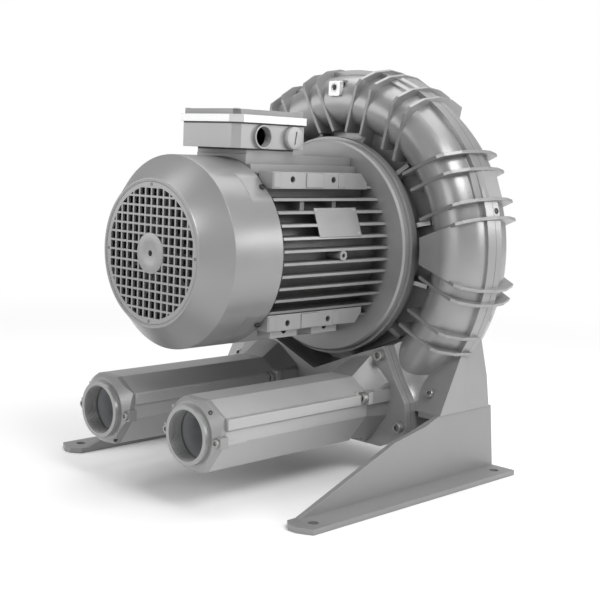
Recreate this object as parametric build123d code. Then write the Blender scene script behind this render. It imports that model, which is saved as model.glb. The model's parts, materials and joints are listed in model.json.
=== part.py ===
from build123d import *
from math import atan2, cos, degrees, hypot, radians, sin, sqrt
import os

# Millimetres. Z = 0 is the floor, +Y runs along the shaft from the fan end to the casing,
# +X is the side of the cable entries. The origin is the centre of the four foot holes.

# Placing of the sub-assemblies
SHAFT_HEIGHT = 351.0            # shaft axis above the floor
PARTING_Y = 150.0               # plane where the two casing halves meet
SEAT_DEPTH = 67.0               # motor seat in front of the parting plane
PORT_FACE_DEPTH = 74.0          # manifold face in front of the parting plane
PORT_X = 100.5                  # ports to each side of the shaft
PORT_HEIGHT = 107.5             # port axes above the floor

# Fits and clearances
RUNNING_GAP = 0.4               # impeller to the casing's flat faces
RIM_GAP = 1.5                   # impeller rim to the channel and the stripper
SHAFT_FIT = 0.05                # radial clearance of a journal in its ring
LOOSE_GAP = 0.3                 # curved faces that only pass each other
SCREW_GAP = 0.5                 # radial clearance of a screw in its passing hole

# Casing
CHANNEL_R = 236.5               # centre circle of the side channel
CHANNEL_HALF_R = 46.5           # outside of the channel wall, across the radius
CHANNEL_FRONT_Y = 62.0          # outside of the channel wall, ahead of the parting plane
CHANNEL_REAR_Y = 72.0           # and behind it
CHANNEL_WALL = 8.0
CHANNEL_END_R = 40.0            # outer radius of the channel's front and rear faces
BAND_R = 288.0                  # parting flange
BAND_FRONT_T = 20.0             # flange ahead of the parting plane
BAND_REAR_T = 15.0              # and behind it
WEB_T = 12.0                    # flat wall beside the impeller disc
DRUM_R = 162.0                  # drum between web and motor seat
SEAT_R = 178.0                  # motor seat
SEAT_T = 14.0
SPIGOT_R = 125.0                # motor spigot in the seat
SPIGOT_T = 5.0
BRIDGE_T = 7.0                  # webs between drum and channel
BRIDGE_COUNT = 12
RIB_T = 5.0
RIB_TIP_R = 295.0               # crest of the ribs over the parting flange
RIB_ROOT_R = 187.0
RIB_FRONT = 69.0                # front edge of the ribs ahead of the parting plane
RIB_REAR = 82.0                 # rear edge of the ribs behind the parting plane
RIB_GROUPS = ((67.0, (56.0, 25.0, -26.0, -55.0)), (21.0, (64.0, 35.0, -14.0, -43.0)),
              (-20.0, (54.0, 31.0, -26.0, -55.0)), (112.0, (-62.0, -33.0, 20.0, 50.0)),
              (159.0, (-64.0, -35.0, 14.0, 43.0)), (200.0, (-54.0, -31.0, 26.0, 55.0)))
RIB_LOWEST = 125.0              # rear ribs end this far below the shaft
HUMP_PLACES = ((67.0, -0.5), (21.0, 10.5), (112.0, -6.5), (159.0, -10.5))
HUMP_W = 47.0                   # raised screw seats between the middle ribs of a group
HUMP_R = 290.0
HUMP_FRONT = 30.0               # seat ahead of the parting plane
HUMP_REAR = 26.0
PANEL_GROUPS = ((21.0, -43.0), (-20.0, 54.0))       # ribs that bound the filled front panel
PANEL_R = 232.0                 # outer end of the panel's flat face
STRIPPER_HALF = 12.0            # half angle of the stripper between the ports
DUCT_R = 40.0
DUCT_END = 10.0                 # ducts end ahead of the parting plane
BLOCK_FLANGE_T = 12.0
CASING_SCREW_CIRCLE = 282.5
CASING_SCREW_R = 3.0
CASING_HEAD_R = 5.0
CASING_HEAD_Y = 16.0            # under the heads, behind the parting plane
CASING_SCREW_IN = 15.0
CASING_SCREW_ANGLES = (66.9, 23.1, -19.5, -58.0, -90.0, -122.0, 199.5, 156.9, 113.3)
EYE_SIZE = 24.0                 # square boss of the lifting thread
EYE_R = 257.0
EYE_DEPTH = 57.0                # face of the boss ahead of the parting plane
EYE_THREAD_R = 5.1
EYE_THREAD_L = 16.0
COVER_HUB_R = 46.0
COVER_HUB_T = 8.0               # cover over the nut
COVER_RIBS = 8

# Pedestals and feet
PEDESTAL_X0 = 193.0
PEDESTAL_X1 = 247.0
PEDESTAL_BOTTOM = 109.0
PEDESTAL_FRONT = ((86.0, 109.0), (143.0, 220.0))   # y and z of the slanted front edge
PEDESTAL_REAR = ((184.0, 219.0), (204.0, 160.0), (214.0, 109.0))
PEDESTAL_SCREW_X = 217.0
PEDESTAL_SCREW_UP = 31.0        # along the slanted edge
PEDESTAL_SCREW_R = 4.0
PEDESTAL_SCREW_L = 13.0
FOOT_HOLE_SPAN_X = 534.0
FOOT_HOLE_SPAN_Y = 420.0
FOOT_HOLE_R = 7.5
FOOT_PLATE_T = 8.0
FOOT_WEB_X = 245.0              # outer face of the upright web
FOOT_BASE_X = 288.0             # outer edge of the base
FOOT_FRONT_END = 32.0           # base in front of the front hole
FOOT_REAR_END = 27.0
FOOT_CORNER = 22.0
FOOT_SHELF = 40.0               # width of the shelf under the pedestal
FOOT_SHELF_Y = (86.0, 223.0)    # front and rear end of the shelf
FOOT_WEB_BENDS = ((-15.0, 84.0), (53.0, 97.0))      # y and z along the web's upper edge
FOOT_BOLT_R = 6.0
FOOT_BOLT_YS = (112.0, 196.0)

# Rotor
IMPELLER_DISC_HALF = 9.6
IMPELLER_ROOT_R = 194.0         # where the disc thins into the bladed rim
BLADE_ROOT_R = 202.0
IMPELLER_RIM_R = 273.0
IMPELLER_RIM_HALF = 20.0        # half width of the blades
IMPELLER_EDGE_HALF = 2.5        # half thickness of the web at its rim
BLADE_COUNT = 36
BLADE_T = 3.5
SHAFT_SEAT_R = 19.0             # impeller seat
SHAFT_BEARING_R = 20.0
SHAFT_BODY_R = 24.0
SHAFT_REAR_BEARING_R = 15.0     # journal at the fan end
SHAFT_FAN_R = 14.0
SHAFT_THREAD_R = 12.0
SHAFT_END = 4.0                 # shaft beyond the fan's circlip
KEY_W = 10.0
KEY_H = 8.0
KEY_L = 30.0
NUT_FLAT = 36.0
NUT_T = 19.0
WASHER_R = 28.0
WASHER_T = 5.0
ROTOR_R = 67.0
END_RING_R = 62.0
END_RING_T = 12.0
FAN_R = 112.0
FAN_GRILLE_GAP = 22.0           # blades behind the grille
FAN_L = 34.0
FAN_BLADES = 9
FAN_BLADE_T = 3.0
FAN_DISC_R = 92.0
FAN_HUB_R = 26.0
CIRCLIP_R = 18.0
CIRCLIP_T = 1.8

# Motor
FLANGE_R = 173.0
FLANGE_T = 12.0
FLANGE_STEP = 3.0
FRAME_L = 228.0
FRAME_BORE_R = 103.0
FRAME_BARREL_R = 113.0
FIN_TIP_R = 141.0
FIN_T = 4.0
FIN_PITCH = 18.2
FIN_ROWS = 6                    # fins above and below the shaft level, each side
BOTTOM_FINS = 2                 # upright fins to each side of the middle, below
TOP_STEPS = ((54.0, 145.0), (65.0, 131.0), (80.0, 119.0))   # half width and height of the stepped top
TIE_L = 9.0                     # short ties between the fins
TIE_R = 128.0
TIE_PLACES = ((-96.0, 4), (-27.0, 4), (-96.0, -5), (-70.0, -5), (-27.0, -5), (-96.0, -6), (-27.0, -6))
PAD_X0 = 78.0
PAD_X1 = 105.0
PAD_Z0 = 100.0
PAD_Z1 = 121.0
PAD_STARTS = (-145.0, -58.0)
PAD_L = 56.0
PAD_HOLE_R = 5.0
STATOR_L = 132.0
STATOR_Y = -112.0
AIR_GAP = 0.6
WINDING_OVERHANG = 30.0
WINDING_R0 = 72.0
WINDING_R1 = 96.0
BEARING_R = 45.0
BEARING_W = 23.0
FAN_BEARING_R = 36.0
FAN_BEARING_W = 19.0
BEARING_RING_T = 5.5
BEARING_SEAL_T = 1.2
FAN_SHIELD_T = 14.0
SHIELD_RIM = 3.0                # fan-end shield beyond the barrel of the frame
LUG_W = 24.0                    # lugs that carry the cowl
SHIELD_LIP = 4.0                # lip in front of a bearing
SHIELD_SPIGOT = 10.0            # length of the shields' fit in the frame
SHIELD_SPIGOT_T = 5.0
SPRING_T = 1.5
FLANGE_SCREW_R = 6.0
FLANGE_HEAD_R = 9.0
FLANGE_SCREW_CIRCLE = 141.0
EARTH_BOSS_R = 7.5
EARTH_HOLE_R = 3.3
EARTH_Y = -34.0
PLATE_L = 93.0
PLATE_W = 45.0
PLATE_T = 1.2
PLATE_TILT = 20.6
PLATE_Y = -36.5
PLATE_DISTANCE = 139.0
SEAL_R = 30.0
SEAL_T = 8.0

# Fan cowl
COWL_R = 140.8
COWL_T = 2.3
COWL_LENGTH = 128.0
COWL_FACE_R = 107.3
COWL_SHOULDER = 46.0
COWL_GAP = 2.0                  # rear rim in front of the frame
COWL_SCREW_R = 3.0
COWL_SCREW_L = 12.0
COWL_ANGLES = (45.0, 135.0, 225.0, 315.0)
COWL_SCREW_IN = 7.0             # screws in front of the rear rim
GRILLE_RECESS = 1.5             # grille behind its rim
GRILLE_RIM_W = 11.0
GRILLE_R = 91.0
GRILLE_PITCH = 12.7
GRILLE_BAR = 3.2
GRILLE_HUB_R = 29.0
GRILLE_SMALLEST = 14.0          # area of the smallest clipped hole that is cut

# Terminal box
BOX_X0 = -57.0
BOX_X1 = 62.0
BOX_Y0 = -185.0
BOX_Y1 = -43.0
BOX_Z0 = 153.0                  # above the shaft axis
BOX_Z1 = 188.0
BOX_WALL = 4.0
BOX_CORNER = 10.0               # cut of the corner between the front and the entries
BOX_EDGE = 3.0                  # cut of the other corners
LID_OVERHANG = 5.0
LID_RIM_T = 11.0
LID_TOP_T = 8.0
LID_TOP_INSET = 7.0
GASKET_T = 2.0
NECK_X = 54.0
NECK_Y0 = -156.0
NECK_Y1 = -60.0
NECK_PASSAGE = 26.0             # half width of the wire passage
ENTRY_Y = -134.0
ENTRY_Z = 170.5
ENTRY_R = 15.0
ENTRY_COLLAR_R = 17.4
ENTRY_COLLAR_T = 5.0
PLUG_Y = -72.0
PLUG_R = 17.0
PLUG_HEAD_T = 6.0
PLUG_BODY_R = 13.0
PLUG_SLOT_W = 3.5
PLUG_SLOT_T = 2.0
TERMINAL_L = 66.0
TERMINAL_T = 14.0
STUD_R = 2.5
STUD_L = 12.0

# Silencers
PORT_R = 36.1
PORT_RING_R = 42.2
CAP_LENGTH = 25.4
TUBE_LENGTH = 292.0
TUBE_HALF = 51.0
TUBE_FLAT = 22.0                # half width of the top and bottom flats
TUBE_SIDE = 55.0
TUBE_WALL = 3.5
SIDE_LOW = -6.0                 # lower end of the upright side, from the tube's axis
RIDGE_OUT = 60.0
RIDGE_LOW = 14.0
RIDGE_HIGH = 31.0
RIDGE_END = 18.5                # ridges stop short of the manifold
CAP_RING_L = 8.0
CAP_CONE_R = 47.0
CAP_CONE_RISE = 24.0
CAP_EAR_OUT = 60.0
CAP_EAR_LOW = -10.0
CAP_EAR_HIGH = 6.0
CAP_SCREW_X = 52.5
CAP_SCREW_Z = -2.0
CAP_SCREW_R = 3.0
CAP_HEAD_R = 6.0
CAP_EAR_T = 14.0
LINER_R = 39.0
LINER_T = 2.0
FOAM_START = 44.0
TUBE_SCREW_X = 57.0
TUBE_SCREW_Z = 24.5
TUBE_SCREW_R = 5.0
TUBE_HEAD_R = 8.5
TUBE_EAR_T = 8.0
EAR_HALF = 9.5
MANIFOLD_FLANGE_T = 12.0
BRANCH_END = ((122.0, 188.0), (161.0, 152.0), (161.0, 98.0), (130.0, 56.0), (72.0, 56.0), (40.0, 98.0),
              (40.0, 150.0), (84.0, 180.0))         # outline of a branch at the flange
MANIFOLD_SCREW_R = 5.0
MANIFOLD_SCREWS = ((143.0, 191.0), (188.0, 84.0), (118.0, 57.0), (30.0, 72.0))
SCREW_IN = 14.0                 # length of thread in engagement
GASKET_PAPER_T = 1.0

# Stations along the shaft that follow from the sizes above
SEAT_Y = PARTING_Y - SEAT_DEPTH
FLANGE_Y = SEAT_Y - FLANGE_T
FRAME_Y = FLANGE_Y - FRAME_L
COWL_REAR_Y = FRAME_Y - COWL_GAP
COWL_FRONT_Y = COWL_REAR_Y - COWL_LENGTH
PORT_FACE_Y = PARTING_Y - PORT_FACE_DEPTH
MANIFOLD_Y = 20.0
TUBE_Y = MANIFOLD_Y - TUBE_LENGTH
CAP_Y = TUBE_Y - CAP_LENGTH
DISC_FRONT_Y = PARTING_Y - IMPELLER_DISC_HALF
DISC_REAR_Y = PARTING_Y + IMPELLER_DISC_HALF
WEB_REAR_Y = DISC_FRONT_Y - RUNNING_GAP
WEB_FRONT_Y = WEB_REAR_Y - WEB_T
COVER_WEB_Y = DISC_REAR_Y + RUNNING_GAP
NUT_ROOM_Y = DISC_REAR_Y + WASHER_T + NUT_T + 4.0
FOOT_HOLE_X = FOOT_HOLE_SPAN_X / 2
FOOT_FRONT_Y = -FOOT_HOLE_SPAN_Y / 2 - FOOT_FRONT_END
FOOT_REAR_Y = FOOT_HOLE_SPAN_Y / 2 + FOOT_REAR_END
FAN_SHIELD_Y = FRAME_Y - FAN_SHIELD_T
FAN_BEARING_Y = FAN_SHIELD_Y - 2.0
DRIVE_BEARING_Y = FLANGE_Y - 8.0
FAN_Y = COWL_FRONT_Y + FAN_GRILLE_GAP
CIRCLIP_Y = FAN_Y - CIRCLIP_T
FOOT_BOLT_X = FOOT_WEB_X - FOOT_SHELF / 2
CHANNEL_CLEAR_R = CHANNEL_HALF_R - CHANNEL_WALL
CHANNEL_CLEAR_FRONT = CHANNEL_FRONT_Y - CHANNEL_WALL
CHANNEL_CLEAR_REAR = CHANNEL_REAR_Y - CHANNEL_WALL


def on_shaft(part):
    """Lifts a part made about the Y axis up to the shaft."""
    return Pos(0, 0, SHAFT_HEIGHT) * part


def turned(points):
    """Solid of revolution about the shaft from (radius, station) points."""
    outline = make_face(Polyline(*points, close=True))
    return on_shaft(revolve(outline, Axis.Y))


def ring(y0, y1, outer, inner=0.0):
    """Plain ring or disc about the shaft."""
    return turned([(inner, y0), (outer, y0), (outer, y1), (inner, y1)])


def rod(x, z, y0, y1, radius):
    """Cylinder along Y."""
    return Pos(x, (y0 + y1) / 2, z) * Rot(90, 0, 0) * Cylinder(radius, y1 - y0)


def block(x0, x1, y0, y1, z0, z1):
    """Box between two corners."""
    return Pos((x0 + x1) / 2, (y0 + y1) / 2, (z0 + z1) / 2) * Box(x1 - x0, y1 - y0, z1 - z0)


def across(points, y):
    """Face from (x, z) points in the plane across the shaft at y, facing -Y."""
    frame = Plane((0, y, 0), x_dir=(1, 0, 0), z_dir=(0, -1, 0))
    return frame * make_face(Polyline(*points, close=True))


def prism_y(points, y0, y1):
    """Prism along Y from (x, z) points."""
    return extrude(across(points, y1), y1 - y0)


def prism_x(points, x0, x1):
    """Prism along X from (y, z) points."""
    frame = Plane((x0, 0, 0), x_dir=(0, 1, 0), z_dir=(1, 0, 0))
    return extrude(frame * make_face(Polyline(*points, close=True)), x1 - x0)


def mirrored(part):
    """The same part on the other side of the shaft."""
    return mirror(part, Plane.YZ)


def both_sides(points):
    """Closes a right-hand outline of (x, z) points with its mirror image."""
    left = [(-x, z) for x, z in reversed(points) if x > 0]
    return points + left


def polar(angle, radius):
    """x and z of a point about the shaft, at an angle from +X towards +Z."""
    return radius * cos(radians(angle)), SHAFT_HEIGHT + radius * sin(radians(angle))


def meridian(points, angle, thickness):
    """Plate through the shaft axis at an angle, from (radius, station) points."""
    plate = extrude(make_face(Polyline(*points, close=True)), thickness / 2, both=True)
    return on_shaft(Rot(0, -angle, 0) * plate)


def half_oval(half_r, half_y, side):
    """Half of the channel's oval section, in front of the parting plane (-1) or behind it (1)."""
    end_r = CHANNEL_END_R + half_r - CHANNEL_HALF_R
    centre = half_y - end_r
    side_r = (half_r ** 2 + centre ** 2 - end_r ** 2) / (2 * (half_r - end_r))
    lean = end_r / (side_r - end_r)
    tip_x, tip_y = lean * (side_r - half_r), side * centre * (1 + lean)
    edges = [Line((-half_r, 0), (half_r, 0)),
             TangentArc((half_r, 0), (tip_x, tip_y), tangent=(0, side)),
             ThreePointArc((tip_x, tip_y), (0, side * half_y), (-tip_x, tip_y)),
             TangentArc((-half_r, 0), (-tip_x, tip_y), tangent=(0, side))]
    return Pos(CHANNEL_R, PARTING_Y) * make_face(edges)


def half_channel(half_r, half_y, side):
    """Half of the ring swept by the channel section."""
    return on_shaft(revolve(half_oval(half_r, half_y, side), Axis.Y))


def channel_space(side):
    """Free space of half the channel, stopped between the ports, and of the impeller rim."""
    section = half_oval(CHANNEL_CLEAR_R, CHANNEL_CLEAR_REAR if side > 0 else CHANNEL_CLEAR_FRONT, side)
    sweep_angle = 360 - 2 * STRIPPER_HALF
    space = on_shaft(Rot(0, 90 - STRIPPER_HALF, 0) * revolve(section, Axis.Y, sweep_angle))
    rim = IMPELLER_RIM_HALF + RIM_GAP
    inner = CHANNEL_R - CHANNEL_CLEAR_R - RIM_GAP
    slot = ring(PARTING_Y - rim, PARTING_Y + rim, IMPELLER_RIM_R + RIM_GAP, inner)
    return space + slot


def rib_profile(rear):
    """Half of the ribs' profile in (radius, station), faceted round the channel."""
    tip, root = RIB_TIP_R, RIB_ROOT_R
    if rear:
        y = PARTING_Y + RIB_REAR
        return [(root, PARTING_Y), (tip, PARTING_Y), (tip - 3, y - 47), (tip - 13, y - 17),
                (tip - 73, y), (root + 6, y - 8), (root, y - 20)]
    y = PARTING_Y - RIB_FRONT
    return [(root, PARTING_Y), (root, y + 15), (root + 35, y + 8), (tip - 31, y + 1),
            (tip - 20, y + 7), (tip - 6, y + 34), (tip, PARTING_Y)]


def along(direction, reach, offset):
    """x and z, from the shaft, of a point at a reach along a direction and an offset to its left."""
    a = radians(direction)
    return reach * cos(a) - offset * sin(a), reach * sin(a) + offset * cos(a)


def rib(direction, offset, rear):
    """Rib in the plane parallel to a direction and the shaft, at an offset from the shaft."""
    points = [(sqrt(r ** 2 - offset ** 2), y) for r, y in rib_profile(rear)]
    plate = extrude(make_face(Polyline(*points, close=True)), RIB_T / 2, both=True)
    return on_shaft(Rot(0, -direction, 0) * Pos(0, 0, offset) * plate)


def ribs(rear):
    """All ribs of one half."""
    made = []
    for direction, offsets in RIB_GROUPS:
        for offset in offsets:
            tip_z = along(direction, RIB_TIP_R, offset)[1]
            if not rear or tip_z > -RIB_LOWEST:
                made.append(rib(direction, offset, rear))
    return made


def humps(rear):
    """Raised seats of the upper casing screws, each with a slanted end."""
    low = CHANNEL_R + 25
    if rear:
        end = PARTING_Y + HUMP_REAR
        points = [(low, PARTING_Y), (HUMP_R, PARTING_Y), (HUMP_R, end), (HUMP_R - 9, end + 14),
                  (low, end + 14)]
    else:
        end = PARTING_Y - HUMP_FRONT
        points = [(low, PARTING_Y), (low, end), (HUMP_R - 9, end), (HUMP_R, end + 22),
                  (HUMP_R, PARTING_Y)]
    hump = extrude(make_face(Polyline(*points, close=True)), HUMP_W / 2, both=True)
    return [on_shaft(Rot(0, -direction, 0) * Pos(0, 0, offset) * hump)
            for direction, offset in HUMP_PLACES]


def panel():
    """Filled part of the channel's front between two groups of ribs, flat inside and bulging outside."""
    y = PARTING_Y - RIB_FRONT
    outer_y = PARTING_Y - BAND_FRONT_T + 2
    root = RIB_ROOT_R + 5
    edges = [Polyline((root + 20, outer_y), (root, y + 30), (root, y + 3), (root + 3, y), (PANEL_R, y)),
             ThreePointArc((PANEL_R, y), (PANEL_R + 36, y + 11), (PANEL_R + 52, outer_y)),
             Line((PANEL_R + 52, outer_y), (root + 20, outer_y))]
    body = revolve(make_face(edges), Axis.Y)
    (first, offset), (second, lower) = PANEL_GROUPS
    near, far = RIB_ROOT_R - 20, RIB_TIP_R + 20
    corners = [along(first, near, offset), along(first, far, offset), along(second, far, lower),
               along(second, near, lower)]
    wedge = prism_y([(x, z + SHAFT_HEIGHT) for x, z in corners], y - 1, PARTING_Y)
    return on_shaft(body) & wedge


def casing_holes(y0, y1, radius):
    """Holes of the casing screws."""
    return [rod(*polar(a, CASING_SCREW_CIRCLE), y0, y1, radius) for a in CASING_SCREW_ANGLES]


def port_outline():
    """Outline shared by the casing's port flange and the manifold, with a valley in the middle."""
    right = [(0, 148), (104, 190), (148, 206), (171, 160), (196, 122), (201, 82), (188, 66),
             (150, 46), (60, 46)]
    return both_sides(right)


def block_outline():
    """Outline of the port block where it meets the parting plane."""
    right = [(0, 152), (104, 205), (190, 240), (243, 192), (204, 144), (204, 100), (188, 80),
             (150, 62), (60, 62)]
    return both_sides(right)


def casing_front():
    """Front half of the casing: channel wall with ribs, motor seat, port block and pedestals."""
    body = half_channel(CHANNEL_HALF_R, CHANNEL_FRONT_Y, -1)
    body += ring(PARTING_Y - BAND_FRONT_T, PARTING_Y, BAND_R, CHANNEL_R)
    body += ring(WEB_FRONT_Y, WEB_REAR_Y, CHANNEL_R - CHANNEL_CLEAR_R, SEAL_R)
    body += ring(SEAT_Y, WEB_FRONT_Y, DRUM_R, SPIGOT_R - SPIGOT_T)
    body += ring(SEAT_Y, SEAT_Y + SEAT_T, SEAT_R, DRUM_R)
    pieces = [meridian([(DRUM_R - 2, SEAT_Y + SEAT_T - 2), (DRUM_R, WEB_FRONT_Y - 4),
                        (CHANNEL_R - CHANNEL_HALF_R + 4, WEB_REAR_Y),
                        (CHANNEL_R - CHANNEL_HALF_R + 4, WEB_FRONT_Y - 14)],
                       360 / BRIDGE_COUNT * (i + 0.5), BRIDGE_T) for i in range(BRIDGE_COUNT)]
    pieces += ribs(rear=False) + humps(rear=False)
    right = pedestal() - block(0, PEDESTAL_X1 + 1, PARTING_Y, PARTING_Y + 100, 0, SHAFT_HEIGHT)
    pieces += [panel(), right, mirrored(right)]
    flange = prism_y(port_outline(), PORT_FACE_Y, PORT_FACE_Y + BLOCK_FLANGE_T)
    neck = loft([across(port_outline(), PORT_FACE_Y + BLOCK_FLANGE_T),
                 across(block_outline(), PARTING_Y)], ruled=True)
    pieces += [flange, neck, eye_boss()]
    body = body.fuse(*pieces)
    ducts = [rod(s * PORT_X, PORT_HEIGHT, PORT_FACE_Y - 1, PARTING_Y - DUCT_END, DUCT_R) for s in (1, -1)]
    seat = ring(SEAT_Y - 1, SEAT_Y + SPIGOT_T, SPIGOT_R)
    well = ring(SEAT_Y - 60, WEB_FRONT_Y, SPIGOT_R - SPIGOT_T)
    disc = ring(WEB_REAR_Y, PARTING_Y + 1, CHANNEL_R - CHANNEL_CLEAR_R + 2)
    screws = casing_holes(PARTING_Y - CASING_SCREW_IN - 2, PARTING_Y + 1, CASING_SCREW_R)
    for x, z in flange_screw_places():
        screws += [rod(x, z, SEAT_Y - 1, WEB_REAR_Y, FLANGE_SCREW_R + SCREW_GAP),
                   rod(x, z, SEAT_Y + SEAT_T, WEB_REAR_Y + 1, FLANGE_HEAD_R + SCREW_GAP)]
    space = channel_space(-1) - eye_rod(EYE_THREAD_R + 5, EYE_THREAD_L + 4)
    eye = eye_rod(EYE_THREAD_R, EYE_THREAD_L)
    tool = space.fuse(*ducts, seat, well, disc, eye, *screws, *manifold_screw_holes(), *foot_bolt_holes())
    return body - tool


def eye_boss():
    """Square boss on top of the ring for a lifting eye."""
    half = EYE_SIZE / 2
    top = SHAFT_HEIGHT + EYE_R + half
    rear = PARTING_Y - CHANNEL_CLEAR_FRONT / 2
    return block(-half, half, PARTING_Y - EYE_DEPTH, rear, top - 1.3 * EYE_SIZE, top)


def eye_rod(radius, depth):
    """Cylinder behind the face of the lifting boss."""
    y = PARTING_Y - EYE_DEPTH
    return rod(0, SHAFT_HEIGHT + EYE_R, y - 1, y + depth, radius)


def flange_screw_places():
    """x and z of the screws that join casing and motor."""
    return [polar(a, FLANGE_SCREW_CIRCLE) for a in (45, 135, 225, 315)]


def manifold_screw_holes():
    """Threaded holes of the manifold screws in the port flange."""
    return [rod(s * x, z, PORT_FACE_Y - 1, PORT_FACE_Y + 16, MANIFOLD_SCREW_R)
            for s in (1, -1) for x, z in MANIFOLD_SCREWS]


def foot_bolt_holes():
    """Threaded holes of the foot bolts in the pedestals."""
    return [Pos(s * FOOT_BOLT_X, y, PEDESTAL_BOTTOM + 12) * Cylinder(FOOT_BOLT_R, 26)
            for s in (1, -1) for y in FOOT_BOLT_YS]


def pedestal():
    """Right-hand pedestal, with a slanted front edge."""
    outline = [*PEDESTAL_FRONT, *PEDESTAL_REAR]
    hole = pedestal_screw_place() * rod(0, 0, -1, PEDESTAL_SCREW_L, PEDESTAL_SCREW_R)
    return prism_x(outline, PEDESTAL_X0, PEDESTAL_X1) - hole


def pedestal_screw_place():
    """Place on the pedestal's slanted front face, with local +Y pointing into it."""
    (y0, z0), (y1, z1) = PEDESTAL_FRONT
    length = hypot(y1 - y0, z1 - z0)
    share = PEDESTAL_SCREW_UP / length
    lean = degrees(atan2(y1 - y0, z1 - z0))
    return Pos(PEDESTAL_SCREW_X, y0 + share * (y1 - y0), z0 + share * (z1 - z0)) * Rot(-lean, 0, 0)


def casing_rear():
    """Rear half of the casing: channel wall with ribs, closing web and the rear of the pedestals."""
    body = half_channel(CHANNEL_HALF_R, CHANNEL_REAR_Y, 1)
    inner_r = CHANNEL_R - CHANNEL_HALF_R
    body += ring(PARTING_Y, PARTING_Y + BAND_REAR_T, BAND_R, CHANNEL_R)
    body += ring(PARTING_Y, COVER_WEB_Y + WEB_T, inner_r + CHANNEL_WALL, inner_r)
    body += ring(COVER_WEB_Y, COVER_WEB_Y + WEB_T, inner_r + 4)
    body += ring(COVER_WEB_Y, NUT_ROOM_Y + COVER_HUB_T, COVER_HUB_R)
    web_rear = COVER_WEB_Y + WEB_T
    cover_rib = [(COVER_HUB_R - 4, web_rear - 1), (COVER_HUB_R - 4, web_rear + 10),
                 (inner_r + 12, web_rear + 22), (inner_r + 12, web_rear - 1)]
    pieces = [meridian(cover_rib, 360 / COVER_RIBS * i, RIB_T) for i in range(COVER_RIBS)]
    right = pedestal() - block(0, PEDESTAL_X1 + 1, 0, PARTING_Y, 0, SHAFT_HEIGHT)
    pieces += ribs(rear=True) + humps(rear=True) + [right, mirrored(right)]
    body = body.fuse(*pieces)
    disc = ring(PARTING_Y - 1, COVER_WEB_Y, inner_r + CHANNEL_WALL + 2)
    nut_room = ring(COVER_WEB_Y - 1, NUT_ROOM_Y, WASHER_R + 4)
    head_y = PARTING_Y + CASING_HEAD_Y
    screws = casing_holes(PARTING_Y - 1, head_y + 1, CASING_SCREW_R + SCREW_GAP)
    screws += casing_holes(head_y, PARTING_Y + CHANNEL_REAR_Y, CASING_HEAD_R + SCREW_GAP)
    tool = channel_space(1).fuse(disc, nut_room, *screws, *foot_bolt_holes())
    return body - tool


def screw(radius, length, head_r=None):
    """Cap screw with its head in front of the origin and its shank along +Y."""
    head_r = head_r or 1.7 * radius
    head = rod(0, 0, -2 * radius, 0, head_r)
    return head + rod(0, 0, 0, length, radius)


def hex_screw(radius, length, flats):
    """Hex-head screw with its head in front of the origin and its shank along +Y."""
    corners = flats / sqrt(3)
    head = extrude(Plane((0, 0, 0), x_dir=(1, 0, 0), z_dir=(0, -1, 0)) * RegularPolygon(corners, 6),
                   1.3 * radius)
    return head + rod(0, 0, 0, length, radius)


def group(parts):
    """Separate solids that share one node."""
    return Compound(children=list(parts))


def casing_screws():
    """Cap screws from the rear through the parting flange."""
    one = Rot(0, 0, 180) * screw(CASING_SCREW_R - 0.1, CASING_HEAD_Y + CASING_SCREW_IN, CASING_HEAD_R)
    places = [polar(a, CASING_SCREW_CIRCLE) for a in CASING_SCREW_ANGLES]
    return group(Pos(x, PARTING_Y + CASING_HEAD_Y, z) * one for x, z in places)


def pedestal_screws():
    """Cap screws in the pedestals' front faces."""
    one = pedestal_screw_place() * screw(PEDESTAL_SCREW_R - 0.1, PEDESTAL_SCREW_L - 2)
    return group([one, mirrored(one)])


def flange_screws():
    """Screws from inside the casing into the motor flange."""
    one = Rot(0, 0, 180) * screw(FLANGE_SCREW_R - 0.1, SEAT_T + FLANGE_T - 4, FLANGE_HEAD_R)
    return group(Pos(x, SEAT_Y + SEAT_T, z) * one for x, z in flange_screw_places())


def impeller():
    """Disc with a bladed rim that runs in the side channel."""
    half = IMPELLER_DISC_HALF
    edge = IMPELLER_EDGE_HALF
    mid = PARTING_Y
    bore = SHAFT_SEAT_R + SHAFT_FIT
    body = turned([(bore, mid - half), (IMPELLER_ROOT_R, mid - half), (IMPELLER_RIM_R, mid - edge),
                   (IMPELLER_RIM_R, mid + edge), (IMPELLER_ROOT_R, mid + half), (bore, mid + half)])
    wide = IMPELLER_RIM_HALF
    blade = [(BLADE_ROOT_R, mid - wide), (IMPELLER_RIM_R - 2, mid - wide), (IMPELLER_RIM_R - 2, mid + wide),
             (BLADE_ROOT_R, mid + wide)]
    blades = [meridian(blade, 360 / BLADE_COUNT * i, BLADE_T) for i in range(BLADE_COUNT)]
    return body.fuse(*blades) - key_way(SHAFT_SEAT_R + KEY_H / 2 + 0.2)


def key_way(top):
    """Slot for the impeller key, up to a height above the shaft axis."""
    half = KEY_W / 2 + SHAFT_FIT
    return block(-half, half, PARTING_Y - KEY_L, PARTING_Y + KEY_L, SHAFT_HEIGHT, SHAFT_HEIGHT + top)


def impeller_key():
    """Parallel key between shaft and impeller."""
    y = DISC_REAR_Y - 1
    return block(-KEY_W / 2, KEY_W / 2, y - 2 * IMPELLER_DISC_HALF + 2, y,
                 SHAFT_HEIGHT + SHAFT_SEAT_R - KEY_H / 2, SHAFT_HEIGHT + SHAFT_SEAT_R + KEY_H / 2)


def impeller_washer():
    """Washer under the impeller nut."""
    return ring(DISC_REAR_Y, DISC_REAR_Y + WASHER_T, WASHER_R, SHAFT_THREAD_R + SHAFT_FIT)


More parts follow.
